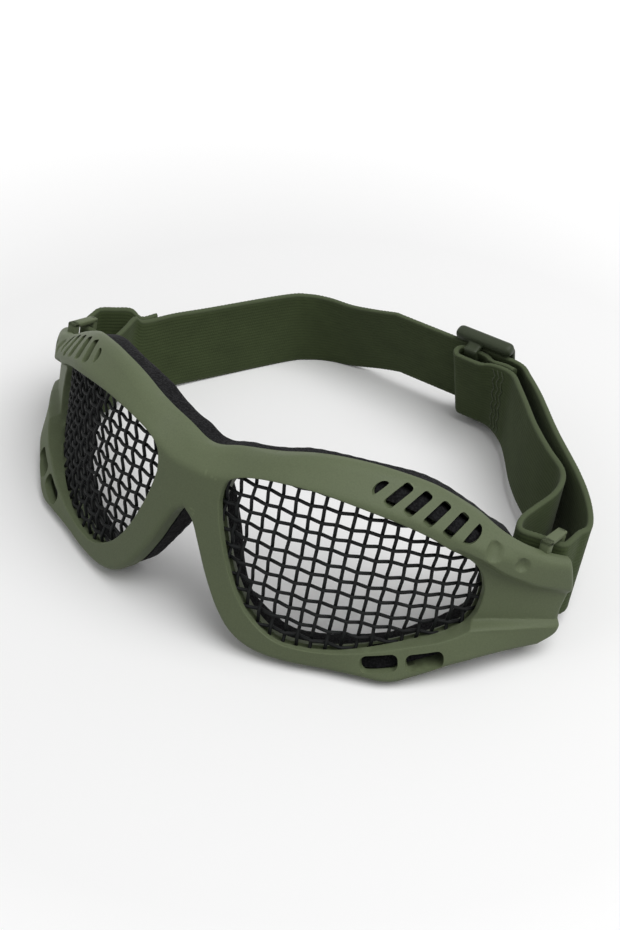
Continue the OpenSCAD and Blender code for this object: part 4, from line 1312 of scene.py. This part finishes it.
@dataclass
class StrapRoute:
    """The way of the strap round the head, in millimetres."""

    form: FaceForm
    shell: FrameShell
    reach: float = 124.1
    back_lean: float = 10.0
    back_lift: float = 4.6
    strap_w: float = 25.4
    strap_t: float = 1.6
    play: float = 0.4
    slider_l: float = 18.6
    slider_h: float = 33.6
    slider_t: float = 1.6
    slider_x: float = 24.2
    mid_bar_w: float = 4.4
    sewn_gap: float = 0.5
    seam_gap: float = 0.15

    def __post_init__(self) -> None:
        """Places the straight stretch and the layers at the slider."""
        self.back_y = self.reach - self.form.face_front
        self.centre = np.array([0.0, self.form.shift[1], 0.0])
        self.line_from = self.slider_x - self.slider_l / 2 - 21.4
        self.line_to = self.slider_x + self.slider_l / 2 + 0.8
        self.bar_start = self.at_bar(0.0, 0.0)
        self.rear_layer = -self.strap_t - self.play + 0.1
        self.mid_bar_from = self.rear_layer - self.strap_t / 2 - self.play - self.slider_t
        self.front_layer = self.mid_bar_from - self.play - self.strap_t / 2
        self.mid_bar_x = -self.slider_l / 2 + 5

    def at_bar(self, dx: float, dy: float) -> list[float]:
        """Station beside the left strap bar, before the shift of the whole object."""
        lean, (x, y, z) = self.form.lean, self.shell.bar_at
        clear = self.shell.bar_d / 2 + self.play + self.strap_t / 2
        point = np.array([x + dx, y - clear + dy,
                          z - self.strap_w / 2 + dy * math.tan(math.radians(lean))])
        return [*(self.form.stand(point) - self.centre), lean]

    def on_side(self, out: float, back: float, z: float, tilt: float,
                side: Side = Side.LEFT) -> list[float]:
        """Station on a side of the strap.

        Args:
            out: Share of the way from the straight stretch out to the bar.
            back: Share of the way from the bar back to the straight stretch.
            z: Height of the lower edge.
            tilt: Degrees that the upper edge leans back.
            side: Side of the head.

        Returns:
            The station.
        """
        start = self.line_to if side is Side.LEFT else self.line_from
        return [mix(start, side.value * self.bar_start[0], out),
                mix(self.bar_start[1], self.back_y, back), z, tilt]

    def fold_station(self, along: float, out: float, rise: float = 0.0,
                     tilt: Optional[float] = None) -> list[float]:
        """Station at the slider.

        Args:
            along: Place along the strap from the middle of the slider.
            out: Place out of the strap's outer face, from the middle of the strap.
            rise: How much higher than the straight stretch it lies.
            tilt: Degrees that the upper edge leans back, or None for the lean of the slider.

        Returns:
            The station.
        """
        lean = math.radians(self.back_lean)
        return [self.slider_x + along, self.back_y + out * math.cos(lean),
                self.back_lift + out * math.sin(lean) + rise,
                -self.back_lean if tilt is None else tilt]

    def right_run(self) -> list[list[float]]:
        """Stations from the wearer's right bar to the straight stretch."""
        rows = [(0.862, 0.223, 1.6, 15), (0.797, 0.36, 0.9, 12), (0.707, 0.517, 0.3, 7),
                (0.505, 0.827, 0, 2), (0.429, 0.907, -0.2, 0), (0.342, 0.956, -0.2, -3),
                (0.225, 0.981, 0.6, -7), (0.102, 0.997, 2.8, -self.back_lean)]
        return [flip(self.at_bar(-8.7, 11.4))] + [self.on_side(*row, Side.RIGHT) for row in rows]

    def beside(self, k: int) -> list[float]:
        """Station beside the outer face of the right run."""
        run = np.array(self.right_run())
        way = run[k + 1, :2] - run[k - 1, :2]
        out = np.array([-way[1], way[0]]) / np.linalg.norm(way) * (self.strap_t + self.sewn_gap)
        return [run[k, 0] + out[0], run[k, 1] + out[1], run[k, 2], run[k, 3]]

    def turn(self) -> list[list[float]]:
        """Stations round the left bar, from its inner side to its outer side."""
        spots = [(-8.4, -1.2), (-3.9, -0.5), (0, -0.2), (2.3, 0.5), (2.9, 2.8), (3.3, 6)]
        return [self.at_bar(*spot) for spot in spots]

    def sewn_loop(self) -> list[list[float]]:
        """Stations of the sewn loop round the wearer's right bar."""
        halfway = mix(np.array(self.beside(2)), np.array(self.beside(1)), 0.5).tolist()
        start = [halfway, self.beside(1), flip(self.at_bar(-4.8, 13.8)),
                 flip(self.at_bar(-0.4, 11.4)), flip(self.at_bar(3.2, 8.8))]
        back = [flip(self.at_bar(-10.2, 1.6)), flip(self.at_bar(-9.6, 6.4))]
        return start + [flip(spot) for spot in self.turn()[::-1]] + back

    def line(self) -> list[list[float]]:
        """Stations of the straight stretch at the back."""
        start, end = self.line_from, self.line_to
        return [[x, self.back_y, self.back_lift, -self.back_lean]
                for x in (start, start + 2, (start + end) / 2, end - 2, end)]

    def left_run(self) -> list[list[float]]:
        """Stations from the straight stretch to the wearer's left bar."""
        lift = self.back_lift
        rows = [(0.081, 0.973, lift, -8), (0.164, 0.91, lift, -5), (0.316, 0.779, lift, 2),
                (0.561, 0.582, lift + 0.2, 8), (0.844, 0.387, lift + 0.3, 13),
                (1.006, 0.254, lift + 0.3, 16)]
        return [self.on_side(*row) for row in rows] + [self.at_bar(4.2, 10)]

    def free_loop(self) -> list[list[float]]:
        """Stations of the loop round the wearer's left bar."""
        inwards = [(-10.4, -0.2), (-11.2, 3.2), (-10.4, 8)]
        return self.turn()[::-1] + [self.at_bar(*spot) for spot in inwards]

    def return_run(self) -> list[list[float]]:
        """Stations of the inner strand, from the left bar to the slider."""
        lift = self.back_lift
        rows = [(0.809, 0.217, lift, 17), (0.8, 0.303, lift, 15.5), (0.744, 0.375, lift, 14),
                (0.6, 0.455, lift, 12), (0.455, 0.535, lift, 12), (0.37, 0.588, lift, 12),
                (0.28, 0.655, lift, 11), (0.175, 0.746, lift, 7)]
        return [self.on_side(*row) for row in rows] + [
            self.fold_station(14.2, self.front_layer - 7.4, 1.9, 5.0)]

    def fold(self) -> list[list[float]]:
        """Stations of the strand as it comes in, folds round the middle bar and is sewn down."""
        front, rear = self.front_layer, self.rear_layer
        radius, mid = (rear - front) / 2, (rear + front) / 2
        x0 = self.mid_bar_x - 0.6
        turns = [math.radians(a) for a in range(-90, -271, -30)]
        strand = [(11.6, front - 5.0, 1.5, 2.5), (8.4, front - 2.6, 1.0, -2.0),
                  (5.2, front - 0.8, 0.5, -6.5), (2.0, front, 0.0, -self.back_lean)]
        tail = []
        for k in (2, 1, 0):
            a, b = strand[max(0, k - 1)], strand[k + 1]
            off = unit(np.array([b[1] - a[1], a[0] - b[0]])) * (self.strap_t + self.seam_gap)
            along, out, rise, tilt = strand[k]
            tail.append((along + off[0], out + off[1], rise, tilt))
        spots = (strand + [(x0 + radius * math.cos(a), mid + radius * math.sin(a)) for a in turns]
                 + [(1.6, rear), (4.0, rear - 1.0)] + tail)
        return [self.fold_station(*spot) for spot in spots]

    def stations(self) -> np.ndarray:
        """The whole way of the webbing, in its final place."""
        rows = np.array(self.sewn_loop() + self.right_run() + self.line() + self.left_run()
                        + self.free_loop() + self.return_run() + self.fold())
        rows[:, :3] += self.centre
        return rows


def flip(station: list[float]) -> list[float]:
    """A station mirrored to the other side of the head."""
    return [-station[0], *station[1:]]


@dataclass
class HeadStrap:
    """The webbing with its seams, as two pieces that meet on the inner strand."""

    route: StrapRoute
    thread_r: float = 0.15
    seam_rows: int = 3
    row_pitch: float = 1.6
    stitch: float = 2.3

    def __post_init__(self) -> None:
        """Follows the webbing and notes where its parts begin."""
        self.ribbon = Ribbon(self.route.stations())
        steps = self.ribbon.steps
        self.bar_end = len(self.route.sewn_loop() + self.route.right_run() + self.route.line()
                           + self.route.left_run() + self.route.free_loop())
        self.part_u = self.ribbon.u[(self.bar_end + 3) * steps]
        self.fold_u = self.ribbon.u[(self.bar_end + len(self.route.return_run())) * steps]

    def seam(self, name: str, start_u: float, lift: float) -> bpy.types.Object:
        """Rows of zigzag thread across the webbing.

        Args:
            name: Name of the piece.
            start_u: Where the first row lies along the webbing.
            lift: Height of the thread off the middle layer, signed.

        Returns:
            The new piece.
        """
        parts = []
        for row in range(self.seam_rows):
            v = np.linspace(1.2, self.ribbon.width - 1.2, 160)
            zigzag = np.arcsin(np.sin(v * math.pi / self.stitch)) / (math.pi / 2) * 0.5
            rise = 0.16 * np.abs(np.cos(v * math.pi / self.stitch)) * np.sign(lift)
            u = start_u + row * self.row_pitch + zigzag
            path = self.ribbon.at(u, v, lift + rise)
            above = self.ribbon.at(u, v, lift + rise + np.sign(lift))
            parts.append(tube(path, above - path, self.thread_r, 6))
        piece = piece_from(name, *join_meshes(parts))
        soften(piece, 60.0)
        return piece

    def build(self, cloth: bpy.types.Material, thread: bpy.types.Material) -> None:
        """Builds both stretches of webbing and both seams."""
        main = self.ribbon.piece("strap_webbing", 0.0, self.part_u)
        settle(main, cloth, ["strap_sewn_loop", "strap_band", "strap_free_loop"], None)
        strand = self.ribbon.piece("strap_strand", self.part_u, float(self.ribbon.u[-1]))
        settle(strand, cloth, ["strap_return", "slider_fold"], None)
        surface = self.ribbon.thick / 2
        loop_seam = self.seam("loop_seam", 1.2, -surface)
        settle(loop_seam, thread, ["loop_stitching"], Body.STRAP)
        fold_seam = self.seam("fold_seam", self.fold_u + 1.4, surface)
        settle(fold_seam, thread, ["fold_stitching"], Body.SLIDER)
        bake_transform(main)
        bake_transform(strand)


@dataclass
class TriGlide:
    """The slider: two rails, two outer bars behind the strap and a middle bar in front of it."""

    route: StrapRoute
    bar_w: float = 3.2
    rail_depth: float = 4.2
    rail_round: float = 1.6
    bar_round: float = 0.7
    voxel: float = 0.28

    def boxes(self) -> list[MeshData]:
        """Rounded boxes of the slider on its own axes."""
        r = self.route
        rail = (r.slider_h - r.strap_w - 2 * r.play) / 2
        outer = r.strap_t / 2 + r.play
        end = outer + r.slider_t
        rail_from = end - self.rail_depth
        half = r.slider_l / 2
        parts = []
        for z in (-r.play - rail, r.strap_w + r.play):
            parts.append(rounded_box((-half, rail_from, z), (half, end, z + rail),
                                     self.rail_round, 5))
        low, high = -r.play - r.slider_t, r.strap_w + r.play + r.slider_t
        for x in (-half, half - self.bar_w):
            parts.append(rounded_box((x, outer, low), (x + self.bar_w, end, high),
                                     self.bar_round, 4))
        left, right = r.mid_bar_x, r.mid_bar_x + r.mid_bar_w
        mid_to = r.mid_bar_from + r.slider_t
        parts.append(rounded_box((left, r.mid_bar_from, low), (right, mid_to, high),
                                 self.bar_round, 4))
        post_to = rail_from + self.rail_depth / 2
        for z in (low, high - r.slider_t):
            parts.append(rounded_box((left, r.mid_bar_from, z), (right, post_to, z + r.slider_t),
                                     self.bar_round, 4))
        return parts

    def build(self, material: bpy.types.Material) -> bpy.types.Object:
        """Fuses the boxes into one moulding and puts it on the strap."""
        points, faces = join_meshes(self.boxes())
        slider = piece_from("tri_glide", points, faces)
        fuse = slider.modifiers.new("fuse", "REMESH")
        fuse.mode, fuse.voxel_size, fuse.use_smooth_shade = "VOXEL", self.voxel * MM, True
        flow = slider.modifiers.new("flow", "SMOOTH")
        flow.factor, flow.iterations = 0.5, 6
        applied(slider)
        route = self.route
        lean = Matrix.Rotation(math.radians(route.back_lean), 4, "X")
        place = np.array([route.slider_x, route.back_y, route.back_lift]) + route.centre
        slider.data.transform(Matrix.Translation(Vector(place * MM)) @ lean)
        for vert in slider.data.vertices:
            vert.co.z = max(vert.co.z, 0.0)
        slider.data.shade_smooth()
        settle(slider, material, ["slider"], Body.SLIDER)
        return slider


@dataclass
class Studio:
    """Pale floor, soft light and the camera of the photograph."""

    camera_at: tuple[float, float, float] = (0.1785, -0.2474, 0.2743)
    azimuth: float = 35.8
    elevation: float = 40.93
    lens: float = 54.19
    film: float = 36.0
    sky: float = 0.34
    key_size: float = 1.2
    fade: tuple[float, float] = (0.14, 0.7)

    def camera(self) -> None:
        """Sets the camera at the photograph's angle."""
        data = bpy.data.cameras.new("photo view")
        data.sensor_fit, data.sensor_height, data.lens = "VERTICAL", self.film, self.lens
        data.clip_start, data.clip_end = 0.01, 20.0
        eye = bpy.data.objects.new("photo view", data)
        bpy.context.scene.collection.objects.link(eye)
        turn = Matrix.Rotation(math.radians(self.azimuth), 4, "Z")
        tip = Matrix.Rotation(math.radians(90 - self.elevation), 4, "X")
        eye.matrix_world = Matrix.Translation(Vector(self.camera_at)) @ turn @ tip
        bpy.context.scene.camera = eye

    @staticmethod
    def seen_rays(bench: NodeBench) -> bpy.types.NodeSocket:
        """One for the rays of the camera, of reflections and of transmission, else zero."""
        rays = bench.add("ShaderNodeLightPath").outputs
        seen = bench.math("MAXIMUM", rays["Is Camera Ray"], rays["Is Transmission Ray"])
        return bench.math("MAXIMUM", seen, rays["Is Glossy Ray"])

    def floor(self) -> None:
        """Lays a pale floor that stays white to the eye and keeps the shadow."""
        size = 4.0
        floor = piece_from("floor", np.array([[-size, -size, 0], [size, -size, 0], [size, size, 0],
                                              [-size, size, 0]]) / MM, [[0, 1, 2, 3]])
        material, bench, shader = fresh_material("pale floor")
        seen = self.seen_rays(bench)
        pale = bench.blend(seen, (0.5, 0.5, 0.5, 1.0), (0.94, 0.94, 0.94, 1.0))
        place = bench.add("ShaderNodeNewGeometry").outputs["Position"]
        away = bench.add("ShaderNodeVectorMath", {0: place}, operation="LENGTH").outputs["Value"]
        far = bench.math("MULTIPLY", seen, bench.spread(away, *self.fade))
        bench.feed(shader, {"Base Color": pale, "Emission Color": (1.0, 1.0, 1.0, 1.0),
                            "Emission Strength": far, "Roughness": 0.9,
                            "Specular IOR Level": 0.1})
        floor.data.materials.append(material)

    def world(self) -> None:
        """White surround for the camera and the reflections, plain light for the rest."""
        world = bpy.data.worlds.new("surround")
        world.use_nodes = True
        bench = NodeBench(world.node_tree)
        strength = bench.spread(self.seen_rays(bench), 0.0, 1.0, self.sky, 1.0)
        bench.feed(world.node_tree.nodes["Background"],
                   {"Strength": strength, "Color": (1.0, 1.0, 1.0, 1.0)})
        bpy.context.scene.world = world

    def lamp(self, name: str, place: Sequence[float], power: float, size: float) -> None:
        """Adds a square soft lamp that faces the goggles.

        Args:
            name: Name of the lamp.
            place: Where it hangs, in metres.
            power: Its power in watts.
            size: Its side in metres.
        """
        data = bpy.data.lights.new(name, "AREA")
        data.energy, data.size = power, size
        lamp = bpy.data.objects.new(name, data)
        bpy.context.scene.collection.objects.link(lamp)
        lamp.location = place
        aim = Vector((0, 0, 0.02)) - Vector(place)
        lamp.rotation_euler = aim.to_track_quat("-Z", "Y").to_euler()

    def build(self) -> None:
        """Builds the whole studio."""
        self.camera()
        self.floor()
        self.world()
        self.lamp("key", (0.6, 0.12, 1.25), 16.5, self.key_size)
        self.lamp("fill", (-0.8, -0.8, 0.9), 1.2, 0.9)
        bpy.context.scene.view_settings.view_transform = "Standard"


def main() -> None:
    """Builds the goggles piece by piece round the CAD frame."""
    logging.basicConfig(level=logging.INFO, format="%(name)s: %(message)s")
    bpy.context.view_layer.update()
    Studio().build()
    effects = Effects()
    plastic = MouldedPlastic("frame plastic", (0.097, 0.118, 0.064), wear=0.35).material(effects)
    satin = MouldedPlastic("slider plastic", (0.026, 0.034, 0.017), roughness=0.44, grain=3600.0,
                           grain_height=0.00001, wear=0.3).material(effects)
    foam = OpenFoam().material(effects)
    wire = CoatedWire().material(effects)
    form = FaceForm()
    shell = FrameShell(form)
    shell.build(plastic)
    for side in Side:
        WovenLens(form, side).build(wire)
        VentFoam(form, "brow", side, (14 / 3, 23 / 3)).build(foam)
        VentFoam(form, "cheek", side, (46 / 3, 56 / 3), skin_gap=2.9).build(foam)
    FaceFoam(form).build(foam)
    route = StrapRoute(form, shell)
    HeadStrap(route).build(WovenElastic().material(effects), SewingThread().material(effects))
    TriGlide(route).build(satin)
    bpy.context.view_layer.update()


if __name__ == "__main__":
    main()
